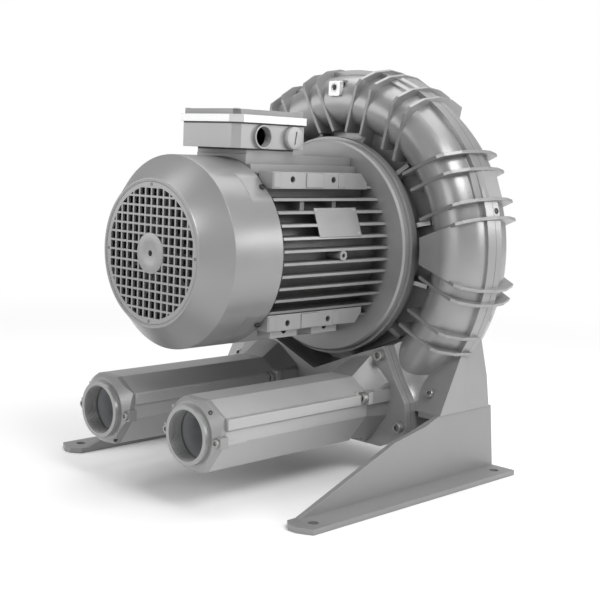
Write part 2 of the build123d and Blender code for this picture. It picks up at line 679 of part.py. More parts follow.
def impeller_nut():
    """Hex nut on the shaft end."""
    y = DISC_REAR_Y + WASHER_T + NUT_T
    frame = Plane((0, y, SHAFT_HEIGHT), x_dir=(1, 0, 0), z_dir=(0, -1, 0))
    nut = extrude(frame * RegularPolygon(NUT_FLAT / sqrt(3), 6), NUT_T)
    return nut - ring(y - NUT_T - 1, y + 1, SHAFT_THREAD_R + SHAFT_FIT)


def shaft():
    """Stepped motor shaft that carries the fan, the rotor core and the impeller."""
    front = CIRCLIP_Y - SHAFT_END
    steps = [(SHAFT_FAN_R, front, FAN_BEARING_Y - 6),
             (SHAFT_REAR_BEARING_R, FAN_BEARING_Y - 6, FAN_BEARING_Y + FAN_BEARING_W),
             (SHAFT_BODY_R, FAN_BEARING_Y + FAN_BEARING_W, DRIVE_BEARING_Y),
             (SHAFT_BEARING_R, DRIVE_BEARING_Y, DISC_FRONT_Y),
             (SHAFT_SEAT_R, DISC_FRONT_Y, DISC_REAR_Y - LOOSE_GAP),
             (SHAFT_THREAD_R, DISC_REAR_Y - LOOSE_GAP, DISC_REAR_Y + WASHER_T + NUT_T + 2)]
    points = [(0, front)]
    for radius, y0, y1 in steps:
        points += [(radius, y0), (radius, y1)]
    points += [(0, steps[-1][2])]
    half = KEY_W / 2
    slot = block(-half, half, DISC_FRONT_Y, DISC_REAR_Y - LOOSE_GAP,
                 SHAFT_HEIGHT + SHAFT_SEAT_R - KEY_H / 2, SHAFT_HEIGHT + 2 * SHAFT_SEAT_R)
    return turned(points) - slot


def rotor_core():
    """Rotor core with its end rings."""
    y0, y1 = STATOR_Y, STATOR_Y + STATOR_L
    bore = SHAFT_BODY_R + SHAFT_FIT
    inner = ROTOR_R - 25
    front, rear = y0 - END_RING_T, y1 + END_RING_T
    return turned([(bore, y0), (inner, y0), (inner, front), (END_RING_R, front),
                   (END_RING_R, y0), (ROTOR_R, y0), (ROTOR_R, y1), (END_RING_R, y1),
                   (END_RING_R, rear), (inner, rear), (inner, y1), (bore, y1)])


def stator_core():
    """Laminated stator ring in the frame."""
    return ring(STATOR_Y, STATOR_Y + STATOR_L, FRAME_BORE_R - SHAFT_FIT, ROTOR_R + AIR_GAP)


def stator_windings():
    """Winding heads on both ends of the stator core."""
    def head(y0, y1):
        return ring(y0, y1, WINDING_R1, WINDING_R0)
    return group([head(STATOR_Y - WINDING_OVERHANG, STATOR_Y),
                  head(STATOR_Y + STATOR_L, STATOR_Y + STATOR_L + WINDING_OVERHANG)])


def bearing_outer(y, outer, bore, width):
    """Outer ring of a sealed bearing, with its two seals."""
    raceway = outer - BEARING_RING_T
    lip = bore + BEARING_RING_T + LOOSE_GAP
    seal = BEARING_SEAL_T
    return turned([(outer, y), (outer, y + width), (lip, y + width), (lip, y + width - seal),
                   (raceway, y + width - seal), (raceway, y + seal), (lip, y + seal), (lip, y)])


def bearing_inner(y, bore, width):
    """Inner ring of a bearing, on the shaft."""
    return ring(y, y + width, bore + BEARING_RING_T, bore + SHAFT_FIT)


def bearing_spring():
    """Preload ring behind the fan-end bearing."""
    y = FAN_BEARING_Y - SPRING_T
    return ring(y, FAN_BEARING_Y, FAN_BEARING_R - 1, FAN_BEARING_R - BEARING_RING_T)


def shaft_seal():
    """Lip seal where the shaft enters the casing."""
    y = WEB_REAR_Y - SEAL_T
    return ring(y, WEB_REAR_Y, SEAL_R - SHAFT_FIT, SHAFT_BEARING_R + SHAFT_FIT)


def shaft_plane(y):
    """Plane across the shaft at a station, facing the fan end."""
    return Plane((0, y, SHAFT_HEIGHT), x_dir=(1, 0, 0), z_dir=(0, -1, 0))


def frame_section():
    """Finned section of the motor frame."""
    levels = [s * (i + 0.5) * FIN_PITCH for i in range(FIN_ROWS) for s in (1, -1)]
    fins = [Pos(0, z) * Rectangle(2 * FIN_TIP_R, FIN_T) for z in levels]
    fins += [Pos(i * FIN_PITCH, -FIN_TIP_R / 2) * Rectangle(FIN_T, FIN_TIP_R)
             for i in range(-BOTTOM_FINS, BOTTOM_FINS + 1)]
    steps = [Pos(0, high / 2) * Rectangle(2 * half, high) for half, high in TOP_STEPS]
    section = (Circle(FRAME_BARREL_R).fuse(*fins) & Circle(FIN_TIP_R)).fuse(*steps)
    return section - Circle(FRAME_BORE_R)


def motor_frame():
    """Finned motor frame with corner pads, earth boss and the neck for the terminal box."""
    body = extrude(shaft_plane(FLANGE_Y) * frame_section(), FRAME_L)
    base = SHAFT_HEIGHT
    pieces = []
    for start in PAD_STARTS:
        for sx in (1, -1):
            for sz in (1, -1):
                x = sorted((sx * PAD_X0, sx * PAD_X1))
                z = sorted((base + sz * PAD_Z0, base + sz * PAD_Z1))
                hole = Pos(sx * PAD_X1, start + PAD_L / 2, base + sz * (PAD_Z0 + PAD_Z1) / 2)
                pad = block(*x, start, start + PAD_L, *z)
                pieces.append(pad - hole * Rot(0, 90, 0) * Cylinder(PAD_HOLE_R, 24))
    for start, row in TIE_PLACES:
        z = base + row * FIN_PITCH
        pieces.append(block(FRAME_BARREL_R - 45, TIE_R - abs(row) * 5, start, start + TIE_L,
                            z - FIN_PITCH / 2, z + FIN_PITCH / 2))
    pieces.append(block(-NECK_X, NECK_X, NECK_Y0, NECK_Y1, base + TOP_STEPS[0][1] - 1,
                        base + BOX_Z0 - GASKET_T))
    boss = Pos((FRAME_BARREL_R + PLATE_DISTANCE) / 2, EARTH_Y, base) * Rot(0, 90, 0)
    pieces.append(boss * Cylinder(EARTH_BOSS_R, PLATE_DISTANCE - FRAME_BARREL_R + 8))
    body = body.fuse(*pieces)
    bore = ring(FRAME_Y - 1, FLANGE_Y + 1, FRAME_BORE_R)
    passage = block(-NECK_PASSAGE, NECK_PASSAGE, NECK_Y0 + 20, NECK_Y1 - 20, base, base + BOX_Z0)
    earth = Pos(PLATE_DISTANCE, EARTH_Y, base) * Rot(0, 90, 0) * Cylinder(EARTH_HOLE_R, 30)
    return body.cut(bore, passage, earth, nameplate_seat())


def plate_place():
    """Middle of the nameplate's back, turned square to it."""
    x, z = polar(PLATE_TILT, PLATE_DISTANCE)
    return Pos(x, PLATE_Y, z) * Rot(0, 90 - PLATE_TILT, 0)


def nameplate_seat():
    """Flat cut in the fin tips for the nameplate."""
    return plate_place() * Pos(0, 0, 10) * Box(PLATE_W, PLATE_L, 20)


def nameplate():
    """Bare rating plate on the fin tips."""
    return plate_place() * Pos(0, 0, PLATE_T / 2) * Box(PLATE_W - 0.6, PLATE_L - 0.6, PLATE_T)


def drive_end_shield():
    """Motor flange with the drive-end bearing seat and the spigot into the casing."""
    bore = BEARING_R + SHAFT_FIT
    y0 = FLANGE_Y - SHIELD_SPIGOT
    fit = FRAME_BORE_R - LOOSE_GAP
    spigot = SPIGOT_R - LOOSE_GAP
    spigot_y = SEAT_Y + SPIGOT_T - LOOSE_GAP
    bearing_end = DRIVE_BEARING_Y + BEARING_W
    body = turned([(bore, y0), (fit, y0), (fit, FLANGE_Y), (FLANGE_R - FLANGE_STEP, FLANGE_Y),
                   (FLANGE_R, FLANGE_Y + FLANGE_STEP), (FLANGE_R, SEAT_Y), (spigot, SEAT_Y),
                   (spigot, spigot_y), (BEARING_R + 15, spigot_y), (BEARING_R + 15, bearing_end + SHIELD_LIP),
                   (SEAL_R, bearing_end + SHIELD_LIP), (SEAL_R, bearing_end), (bore, bearing_end)])
    holes = [rod(x, z, FLANGE_Y + 3, SEAT_Y + 1, FLANGE_SCREW_R) for x, z in flange_screw_places()]
    return body.cut(*holes)


def fan_end_shield():
    """Motor shield at the fan end, which also carries the cowl."""
    bore = FAN_BEARING_R + SHAFT_FIT
    fit = FRAME_BORE_R - LOOSE_GAP
    rim = FRAME_BARREL_R + SHIELD_RIM
    y0 = FAN_BEARING_Y - SPRING_T - SHIELD_LIP
    inner = FAN_BEARING_Y + FAN_BEARING_W
    body = turned([(FAN_BEARING_R - 10, y0), (FAN_BEARING_R + 10, y0), (FAN_BEARING_R + 10, FAN_SHIELD_Y),
                   (rim, FAN_SHIELD_Y), (rim, FRAME_Y), (fit, FRAME_Y), (fit, FRAME_Y + SHIELD_SPIGOT),
                   (fit - SHIELD_SPIGOT_T, FRAME_Y + SHIELD_SPIGOT), (fit - SHIELD_SPIGOT_T, FRAME_Y),
                   (FAN_BEARING_R + 10, FRAME_Y), (FAN_BEARING_R + 10, inner), (bore, inner),
                   (bore, y0 + SHIELD_LIP), (FAN_BEARING_R - 10, y0 + SHIELD_LIP)])
    reach = COWL_R - COWL_T - LOOSE_GAP - FRAME_BARREL_R
    lug = Pos(FRAME_BARREL_R + reach / 2, (FAN_SHIELD_Y + FRAME_Y) / 2, 0) * Box(reach, FAN_SHIELD_T, LUG_W)
    lugs = [on_shaft(Rot(0, -a, 0) * lug) for a in COWL_ANGLES]
    disc = ring(FAN_SHIELD_Y, FRAME_Y, COWL_R - COWL_T - LOOSE_GAP)
    return body.fuse(*[one & disc for one in lugs]).cut(*cowl_screw_tools(COWL_SCREW_R))


def cowl_screw_rod(radius, reach0, reach1, angle):
    """Radial cylinder about a cowl screw's axis, between two distances from the shaft."""
    middle = Pos((reach0 + reach1) / 2, COWL_REAR_Y - COWL_SCREW_IN, 0)
    return on_shaft(Rot(0, -angle, 0) * middle * Rot(0, 90, 0) * Cylinder(radius, reach1 - reach0))


def cowl_screw_tools(radius):
    """Holes of the cowl screws."""
    return [cowl_screw_rod(radius, COWL_R - COWL_SCREW_L - 4, COWL_R + 2, a) for a in COWL_ANGLES]


def cowl_screws():
    """Four screws that hold the cowl to the fan-end shield."""
    return group(cowl_screw_rod(2 * COWL_SCREW_R, COWL_R, COWL_R + 2.4, a)
                 + cowl_screw_rod(COWL_SCREW_R - 0.1, COWL_R - COWL_SCREW_L, COWL_R + 1, a)
                 for a in COWL_ANGLES)


def cooling_fan():
    """Radial fan on the shaft behind the grille."""
    rear = FAN_Y + FAN_L
    body = ring(FAN_Y, rear, FAN_HUB_R, SHAFT_FAN_R + SHAFT_FIT)
    body += ring(rear - FAN_BLADE_T, rear, FAN_DISC_R, FAN_HUB_R - 1)
    blade = [(FAN_HUB_R - 2, FAN_Y + 6), (FAN_R - 12, FAN_Y), (FAN_R, FAN_Y + 10), (FAN_R, rear),
             (FAN_HUB_R - 2, rear)]
    blades = [meridian(blade, 360 / FAN_BLADES * i, FAN_BLADE_T) for i in range(FAN_BLADES)]
    return body.fuse(*blades)


def fan_circlip():
    """Ring that holds the fan on the shaft."""
    return ring(CIRCLIP_Y, FAN_Y, CIRCLIP_R, SHAFT_FAN_R + SHAFT_FIT)


def grille_holes():
    """Square holes of the grille, clipped by the rim and the hub."""
    size = GRILLE_PITCH - GRILLE_BAR
    count = int(GRILLE_R / GRILLE_PITCH) + 1
    lattice = [Pos((i + 0.5) * GRILLE_PITCH, (j + 0.5) * GRILLE_PITCH) * Rectangle(size, size)
               for i in range(-count, count) for j in range(-count, count)]
    field = Circle(GRILLE_R) - Circle(GRILLE_HUB_R)
    holes = [field & one for one in lattice]
    return [f for one in holes if one for f in one.faces() if f.area > GRILLE_SMALLEST]


def fan_cowl():
    """Spun fan cowl with a square-hole grille in its face."""
    front, rear = COWL_FRONT_Y, COWL_REAR_Y
    rim_in = COWL_FACE_R - GRILLE_RIM_W
    inside_r = COWL_R - COWL_T
    shoulder, inside = front + COWL_SHOULDER, front + COWL_T
    edges = [TangentArc((COWL_R, shoulder), (COWL_FACE_R, front), tangent=(0, -1)),
             TangentArc((inside_r, shoulder), (COWL_FACE_R, inside), tangent=(0, -1)),
             Polyline((COWL_R, shoulder), (COWL_R, rear), (inside_r, rear), (inside_r, shoulder)),
             Polyline((COWL_FACE_R, front), (rim_in, front), (rim_in, inside), (COWL_FACE_R, inside))]
    shell = on_shaft(revolve(make_face(edges), Axis.Y))
    grille_front = front + GRILLE_RECESS
    face = ring(grille_front, grille_front + COWL_T, COWL_FACE_R)
    hub = ring(front, grille_front + COWL_T, GRILLE_HUB_R)
    holes = extrude(shaft_plane(front + 10) * Sketch(children=grille_holes()), 12)
    body = (face + hub - holes) + shell
    return body.cut(*cowl_screw_tools(COWL_SCREW_R + SCREW_GAP))


def box_outline(inset):
    """Outline of the terminal box, with cut corners, taken in by an inset."""
    width = BOX_X1 - BOX_X0 - 2 * inset
    length = BOX_Y1 - BOX_Y0 - 2 * inset
    x, y = width / 2, length / 2
    cut, edge = BOX_CORNER - min(inset, BOX_CORNER / 2), BOX_EDGE - min(inset, BOX_EDGE / 2)
    points = [(x - cut, -y), (x, cut - y), (x, y - edge), (x - edge, y), (edge - x, y), (-x, y - edge),
              (-x, edge - y), (edge - x, -y)]
    return make_face(Polyline(*points, close=True))


def box_slab(inset, z0, z1):
    """Slab of the terminal box's outline between two heights above the shaft axis."""
    x, y = (BOX_X0 + BOX_X1) / 2, (BOX_Y0 + BOX_Y1) / 2
    return Pos(x, y, SHAFT_HEIGHT + z0) * extrude(box_outline(inset), z1 - z0)


def on_entry_side(y, x):
    """Place on the box's right face, with local Z pointing out."""
    return Pos(x, y, SHAFT_HEIGHT + ENTRY_Z) * Rot(0, 90, 0)


def terminal_box():
    """Cast terminal box with an open cable entry and a second one for the plug."""
    body = box_slab(0, BOX_Z0, BOX_Z1)
    collar = ENTRY_COLLAR_T
    body += on_entry_side(ENTRY_Y, BOX_X1 + collar / 2 - 1) * Cylinder(ENTRY_COLLAR_R, collar + 2)
    body += on_entry_side(PLUG_Y, BOX_X1 + 1) * Cylinder(ENTRY_COLLAR_R, 4)
    body -= box_slab(BOX_WALL, BOX_Z0 + BOX_WALL, BOX_Z1 + 1)
    base = SHAFT_HEIGHT
    passage = block(-NECK_PASSAGE, NECK_PASSAGE, NECK_Y0 + 20, NECK_Y1 - 20, base + BOX_Z0 - 1,
                    base + BOX_Z0 + BOX_WALL + 1)
    entry = on_entry_side(ENTRY_Y, BOX_X1) * Cylinder(ENTRY_R, 20)
    plug = on_entry_side(PLUG_Y, BOX_X1) * Cylinder(PLUG_BODY_R + LOOSE_GAP, 20)
    return body.cut(passage, entry, plug)


def blanking_plug():
    """Screw plug in the second cable entry, with a slot for a screwdriver."""
    head = on_entry_side(PLUG_Y, BOX_X1 + 3 + PLUG_HEAD_T / 2) * Cylinder(PLUG_R, PLUG_HEAD_T)
    body = on_entry_side(PLUG_Y, BOX_X1 - 1) * Cylinder(PLUG_BODY_R, 9)
    slot = on_entry_side(PLUG_Y, BOX_X1 + 3 + PLUG_HEAD_T) * Box(1.4 * PLUG_R, PLUG_SLOT_W, 2 * PLUG_SLOT_T)
    return head + body - slot


def lid_gasket():
    """Seal under the lid's rim."""
    return box_slab(0, BOX_Z1, BOX_Z1 + GASKET_T) - box_slab(BOX_WALL, BOX_Z1 - 1, BOX_Z1 + GASKET_T + 1)


def terminal_lid():
    """Hollow lid with an overhanging rim and a raised top."""
    z0 = BOX_Z1 + GASKET_T
    z1 = z0 + LID_RIM_T
    body = box_slab(-LID_OVERHANG, z0, z1)
    body += box_slab(LID_TOP_INSET - LID_OVERHANG, z1 - 1, z1 + LID_TOP_T)
    return body - box_slab(LID_TOP_INSET + BOX_WALL, z0 - 1, z1 + LID_TOP_T - BOX_WALL)


def neck_gasket():
    """Seal between the terminal box and the motor."""
    base = SHAFT_HEIGHT + BOX_Z0
    body = block(-NECK_X, NECK_X, NECK_Y0, NECK_Y1, base - GASKET_T, base)
    return body - block(-NECK_PASSAGE, NECK_PASSAGE, NECK_Y0 + 20, NECK_Y1 - 20, base - 5, base + 5)


def terminal_block():
    """Terminal board beside the wire passage."""
    x = NECK_PASSAGE + 4
    y = (NECK_Y0 + NECK_Y1) / 2
    z = SHAFT_HEIGHT + BOX_Z0 + BOX_WALL
    return block(-x - 16, -x + 1, y - TERMINAL_L / 2, y + TERMINAL_L / 2, z, z + TERMINAL_T)


def terminal_studs():
    """Six terminal studs on the board."""
    x = -NECK_PASSAGE - 4
    y = (NECK_Y0 + NECK_Y1) / 2
    z = SHAFT_HEIGHT + BOX_Z0 + BOX_WALL + TERMINAL_T
    step = TERMINAL_L / 3.4
    places = [(x - 11.5 + 8 * i, y + step * (j - 1)) for i in range(2) for j in range(3)]
    return group(Pos(px, py, z) * extrude(RegularPolygon(STUD_R, 6), STUD_L) for px, py in places)


def tube_outline(ridge):
    """Eight-sided section of a silencer tube about its axis, with or without the side ridges."""
    right = [(TUBE_FLAT, TUBE_HALF), (TUBE_SIDE - 1, RIDGE_HIGH)]
    if ridge:
        right += [(RIDGE_OUT, RIDGE_HIGH - 1), (RIDGE_OUT, RIDGE_LOW + 1)]
    right += [(TUBE_SIDE, RIDGE_LOW - 2), (TUBE_SIDE, SIDE_LOW), (TUBE_FLAT, -TUBE_HALF)]
    return [(x + PORT_X, z + PORT_HEIGHT) for x, z in both_sides(right)]


def tube_core():
    """Inner section of a silencer tube."""
    wall = TUBE_WALL
    right = [(TUBE_FLAT - 1, TUBE_HALF - wall), (TUBE_SIDE - wall - 1, RIDGE_HIGH - wall / 2),
             (TUBE_SIDE - wall, SIDE_LOW - wall / 2), (TUBE_FLAT - 1, -TUBE_HALF + wall)]
    return [(x + PORT_X, z + PORT_HEIGHT) for x, z in both_sides(right)]


def muffler_tube():
    """Extruded silencer tube on the right, with a ridge along each side."""
    body = prism_y(tube_outline(False), TUBE_Y, MANIFOLD_Y)
    body += prism_y(tube_outline(True), TUBE_Y, MANIFOLD_Y - RIDGE_END)
    hollow = prism_y(tube_core(), TUBE_Y - 1, MANIFOLD_Y + 1)
    z = PORT_HEIGHT + CAP_SCREW_Z
    right_post = block(CAP_SCREW_X - 6, CAP_SCREW_X + 2.4, TUBE_Y, TUBE_Y + 40, z - 6, z + 6)
    posts = [Pos(PORT_X, 0, 0) * right_post, Pos(PORT_X, 0, 0) * mirrored(right_post)]
    ears = [tube_ear(PORT_X + s * TUBE_SCREW_X, s) for s in (1, -1)]
    body = (body - hollow).fuse(*posts, *ears)
    tools = [rod(PORT_X + s * CAP_SCREW_X, z, TUBE_Y - 1, TUBE_Y + 20, CAP_SCREW_R - 0.8) for s in (1, -1)]
    head_y = MANIFOLD_Y - TUBE_EAR_T
    for s in (1, -1):
        x, z = PORT_X + s * TUBE_SCREW_X, PORT_HEIGHT + TUBE_SCREW_Z
        tools += [rod(x, z, MANIFOLD_Y - RIDGE_END, head_y, TUBE_HEAD_R + SCREW_GAP),
                  rod(x, z, head_y - 1, MANIFOLD_Y + 1, TUBE_SCREW_R + SCREW_GAP)]
    return body.cut(*tools)


def tube_ear(x, side):
    """Ear for a tube screw and the thickened wall beside its head."""
    z = PORT_HEIGHT + TUBE_SCREW_Z
    inner, outer = sorted((x - side * 12, x + side * EAR_HALF))
    wall = sorted((x - side * 12, x - side * 3))
    ear = block(inner, outer, MANIFOLD_Y - TUBE_EAR_T, MANIFOLD_Y, z - EAR_HALF, z + EAR_HALF)
    return ear + block(*wall, MANIFOLD_Y - RIDGE_END - 6, MANIFOLD_Y, z - EAR_HALF, z + EAR_HALF)


def muffler_cap():
    """Cast end cap on the right: threaded port, coned body and two screw ears."""
    cone_y = CAP_Y + CAP_RING_L
    plain = prism_y(tube_outline(False), cone_y, TUBE_Y)
    cone = Pos(PORT_X, cone_y + CAP_CONE_RISE / 2, PORT_HEIGHT) * Rot(-90, 0, 0) * Cone(
        CAP_CONE_R, CAP_CONE_R + CAP_CONE_RISE, CAP_CONE_RISE)
    body = plain & cone
    body += rod(PORT_X, PORT_HEIGHT, CAP_Y, cone_y + 1, PORT_RING_R)
    z0, z1 = PORT_HEIGHT + CAP_EAR_LOW, PORT_HEIGHT + CAP_EAR_HIGH
    body += block(PORT_X - CAP_EAR_OUT, PORT_X + CAP_EAR_OUT, TUBE_Y - CAP_EAR_T, TUBE_Y, z0, z1)
    z = PORT_HEIGHT + CAP_SCREW_Z
    holes = []
    for x in (PORT_X - CAP_SCREW_X, PORT_X + CAP_SCREW_X):
        holes += [rod(x, z, CAP_Y, TUBE_Y + 1, CAP_SCREW_R + SCREW_GAP),
                  rod(x, z, CAP_Y - 5, TUBE_Y - CAP_EAR_T, CAP_HEAD_R + SCREW_GAP)]
    bore = rod(PORT_X, PORT_HEIGHT, CAP_Y - 1, TUBE_Y + 1, PORT_R)
    return body.cut(bore, *holes)


def cap_screws():
    """Screws through the ears of both end caps."""
    one = screw(CAP_SCREW_R - 0.9, CAP_EAR_T + SCREW_IN, CAP_HEAD_R)
    y = TUBE_Y - CAP_EAR_T
    z = PORT_HEIGHT + CAP_SCREW_Z
    xs = [side * PORT_X + s * CAP_SCREW_X for side in (1, -1) for s in (1, -1)]
    return group(Pos(x, y, z) * one for x in xs)


def muffler_liner():
    """Inner tube of the right silencer."""
    y0, y1 = TUBE_Y + LOOSE_GAP, MANIFOLD_Y - LOOSE_GAP
    outer = rod(PORT_X, PORT_HEIGHT, y0, y1, LINER_R)
    return outer - rod(PORT_X, PORT_HEIGHT, y0 - 1, y1 + 1, LINER_R - LINER_T)


def muffler_foam():
    """Sound-absorbing foam round the inner tube of the right silencer."""
    y0, y1 = TUBE_Y + FOAM_START, MANIFOLD_Y - RIDGE_END - 8
    grow = 1 - 2 * LOOSE_GAP / TUBE_SIDE
    points = [(PORT_X + (x - PORT_X) * grow, PORT_HEIGHT + (z - PORT_HEIGHT) * grow) for x, z in tube_core()]
    return prism_y(points, y0, y1) - rod(PORT_X, PORT_HEIGHT, y0 - 1, y1 + 1, LINER_R + LOOSE_GAP)


def duct_loft():
    """Right branch of the manifold, widening from the tube to the flange."""
    x, z = PORT_X, PORT_HEIGHT
    start = [(x + TUBE_FLAT, z + TUBE_HALF), (x + TUBE_SIDE, z + RIDGE_HIGH), (x + TUBE_SIDE, z + SIDE_LOW),
             (x + TUBE_FLAT, z - TUBE_HALF), (x - TUBE_FLAT, z - TUBE_HALF), (x - TUBE_SIDE, z + SIDE_LOW),
             (x - TUBE_SIDE, z + RIDGE_HIGH), (x - TUBE_FLAT, z + TUBE_HALF)]
    end = BRANCH_END
    flange_y = PORT_FACE_Y - GASKET_PAPER_T - MANIFOLD_FLANGE_T
    return loft([across(start, MANIFOLD_Y), across(end, flange_y + 1)], ruled=True)


def manifold():
    """Cast manifold that joins both silencers to the port block."""
    back = PORT_FACE_Y - GASKET_PAPER_T
    front = back - MANIFOLD_FLANGE_T
    pieces = [duct_loft(), mirrored(duct_loft())]
    z = PORT_HEIGHT + TUBE_SCREW_Z
    ears = [side * PORT_X + s * TUBE_SCREW_X for side in (1, -1) for s in (1, -1)]
    pieces += [block(x - EAR_HALF, x + EAR_HALF, MANIFOLD_Y, front + 1, z - EAR_HALF, z + EAR_HALF)
               for x in ears]
    body = prism_y(port_outline(), front, back).fuse(*pieces)
    tools = [rod(s * PORT_X, PORT_HEIGHT, MANIFOLD_Y - 1, back + 1, DUCT_R) for s in (1, -1)]
    for x, z1 in MANIFOLD_SCREWS:
        for s in (1, -1):
            tools += [rod(s * x, z1, front - 1, back + 1, MANIFOLD_SCREW_R + SCREW_GAP),
                      rod(s * x, z1, MANIFOLD_Y, front, 1.7 * MANIFOLD_SCREW_R + SCREW_GAP)]
    tools += [rod(x, z, MANIFOLD_Y - 1, MANIFOLD_Y + SCREW_IN + 2, TUBE_SCREW_R) for x in ears]
    return body.cut(*tools)


def manifold_gasket():
    """Paper gasket between manifold and casing."""
    y0, y1 = PORT_FACE_Y - GASKET_PAPER_T, PORT_FACE_Y
    tools = [rod(s * PORT_X, PORT_HEIGHT, y0 - 1, y1 + 1, DUCT_R) for s in (1, -1)]
    tools += [rod(s * x, z, y0 - 1, y1 + 1, MANIFOLD_SCREW_R + SCREW_GAP)
              for s in (1, -1) for x, z in MANIFOLD_SCREWS]
    return prism_y(port_outline(), y0, y1).cut(*tools)


def manifold_screws():
    """Cap screws through the manifold flange into the casing."""
    one = screw(MANIFOLD_SCREW_R - 0.1, MANIFOLD_FLANGE_T + GASKET_PAPER_T + SCREW_IN)
    y = PORT_FACE_Y - GASKET_PAPER_T - MANIFOLD_FLANGE_T
    return group(Pos(s * x, y, z) * one for s in (1, -1) for x, z in MANIFOLD_SCREWS)


def tube_screws():
    """Screws at the ends of the tubes' ridges, in the manifold's ears."""
    one = screw(TUBE_SCREW_R - 0.1, TUBE_EAR_T + SCREW_IN, TUBE_HEAD_R)
    z = PORT_HEIGHT + TUBE_SCREW_Z
    xs = [side * PORT_X + s * TUBE_SCREW_X for side in (1, -1) for s in (1, -1)]
    return group(Pos(x, MANIFOLD_Y - TUBE_EAR_T, z) * one for x in xs)


def foot():
    """Bent and welded right-hand foot."""
    t = FOOT_PLATE_T
    top = PEDESTAL_BOTTOM
    y0, y1 = FOOT_SHELF_Y
    web = prism_x([(FOOT_FRONT_Y + 17, t / 2), *FOOT_WEB_BENDS, (y0, top), (y1, top), (FOOT_REAR_Y, t / 2)],
                  FOOT_WEB_X - t, FOOT_WEB_X)
    shelf = block(FOOT_WEB_X - FOOT_SHELF, FOOT_WEB_X, y0, y1, top - t, top)
    inner, edge = FOOT_WEB_X - t, FOOT_CORNER
    base_points = [(inner, FOOT_FRONT_Y + 12), (FOOT_WEB_X + 6, FOOT_FRONT_Y),
                   (FOOT_BASE_X - edge, FOOT_FRONT_Y), (FOOT_BASE_X, FOOT_FRONT_Y + edge / 2),
                   (FOOT_BASE_X, FOOT_REAR_Y), (inner, FOOT_REAR_Y)]
    base = extrude(make_face(Polyline(*base_points, close=True)), t)
    body = web + shelf + base
    holes = [Pos(FOOT_HOLE_X, y, t / 2) * Cylinder(FOOT_HOLE_R, 2 * t)
             for y in (-FOOT_HOLE_SPAN_Y / 2, FOOT_HOLE_SPAN_Y / 2)]
    holes += [Pos(FOOT_BOLT_X, y, top) * Cylinder(FOOT_BOLT_R + SCREW_GAP, 4 * t) for y in FOOT_BOLT_YS]
    return body.cut(*holes)


def foot_bolts():
    """Hex bolts from below through the shelves into the pedestals."""
    one = Rot(90, 0, 0) * hex_screw(FOOT_BOLT_R - 0.1, FOOT_PLATE_T + 20, 19)
    z = PEDESTAL_BOTTOM - FOOT_PLATE_T
    return group(Pos(s * FOOT_BOLT_X, y, z) * one for s in (1, -1) for y in FOOT_BOLT_YS)


PARTS = {
    "casing_front": casing_front,
    "casing_rear": casing_rear,
    "casing_screws": casing_screws,
    "pedestal_screws": pedestal_screws,
    "flange_screws": flange_screws,
    "impeller": impeller,
    "impeller_key": impeller_key,
    "impeller_washer": impeller_washer,
    "impeller_nut": impeller_nut,
    "shaft": shaft,
    "rotor_core": rotor_core,
    "stator_core": stator_core,
    "stator_windings": stator_windings,
    "drive_end_bearing": lambda: bearing_outer(DRIVE_BEARING_Y, BEARING_R, SHAFT_BEARING_R, BEARING_W),
    "drive_end_inner_ring": lambda: bearing_inner(DRIVE_BEARING_Y, SHAFT_BEARING_R, BEARING_W),
    "fan_end_bearing": lambda: bearing_outer(FAN_BEARING_Y, FAN_BEARING_R, SHAFT_REAR_BEARING_R,
                                             FAN_BEARING_W),
    "fan_end_inner_ring": lambda: bearing_inner(FAN_BEARING_Y, SHAFT_REAR_BEARING_R, FAN_BEARING_W),
    "bearing_spring": bearing_spring,
    "shaft_seal": shaft_seal,
    "motor_frame": motor_frame,
    "nameplate": nameplate,
    "drive_end_shield": drive_end_shield,
    "fan_end_shield": fan_end_shield,
    "cooling_fan": cooling_fan,
    "fan_circlip": fan_circlip,
    "fan_cowl": fan_cowl,
    "cowl_screws": cowl_screws,
    "terminal_box": terminal_box,
    "terminal_lid": terminal_lid,
    "lid_gasket": lid_gasket,
    "neck_gasket": neck_gasket,
    "terminal_block": terminal_block,
    "terminal_studs": terminal_studs,
    "blanking_plug": blanking_plug,
    "muffler_tube_right": muffler_tube,
    "muffler_tube_left": lambda: mirrored(muffler_tube()),
    "muffler_cap_right": muffler_cap,
    "muffler_cap_left": lambda: mirrored(muffler_cap()),
    "muffler_liner_right": muffler_liner,
    "muffler_liner_left": lambda: mirrored(muffler_liner()),
    "muffler_foam_right": muffler_foam,
    "muffler_foam_left": lambda: mirrored(muffler_foam()),
    "cap_screws": cap_screws,
    "tube_screws": tube_screws,
    "manifold": manifold,
    "manifold_gasket": manifold_gasket,
    "manifold_screws": manifold_screws,
    "foot_right": foot,
    "foot_left": lambda: mirrored(foot()),
    "foot_bolts": foot_bolts,
}

os.makedirs("parts", exist_ok=True)
for node, build in PARTS.items():
    export_step(build(), f"parts/{node}.step")
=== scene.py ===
"""Looks of a side channel blower: finishes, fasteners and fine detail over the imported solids."""

import json
import logging
import math
from collections.abc import Callable, Sequence
from dataclasses import dataclass, field
from enum import Enum

import bmesh
import bpy
from mathutils import Matrix, Vector, geometry


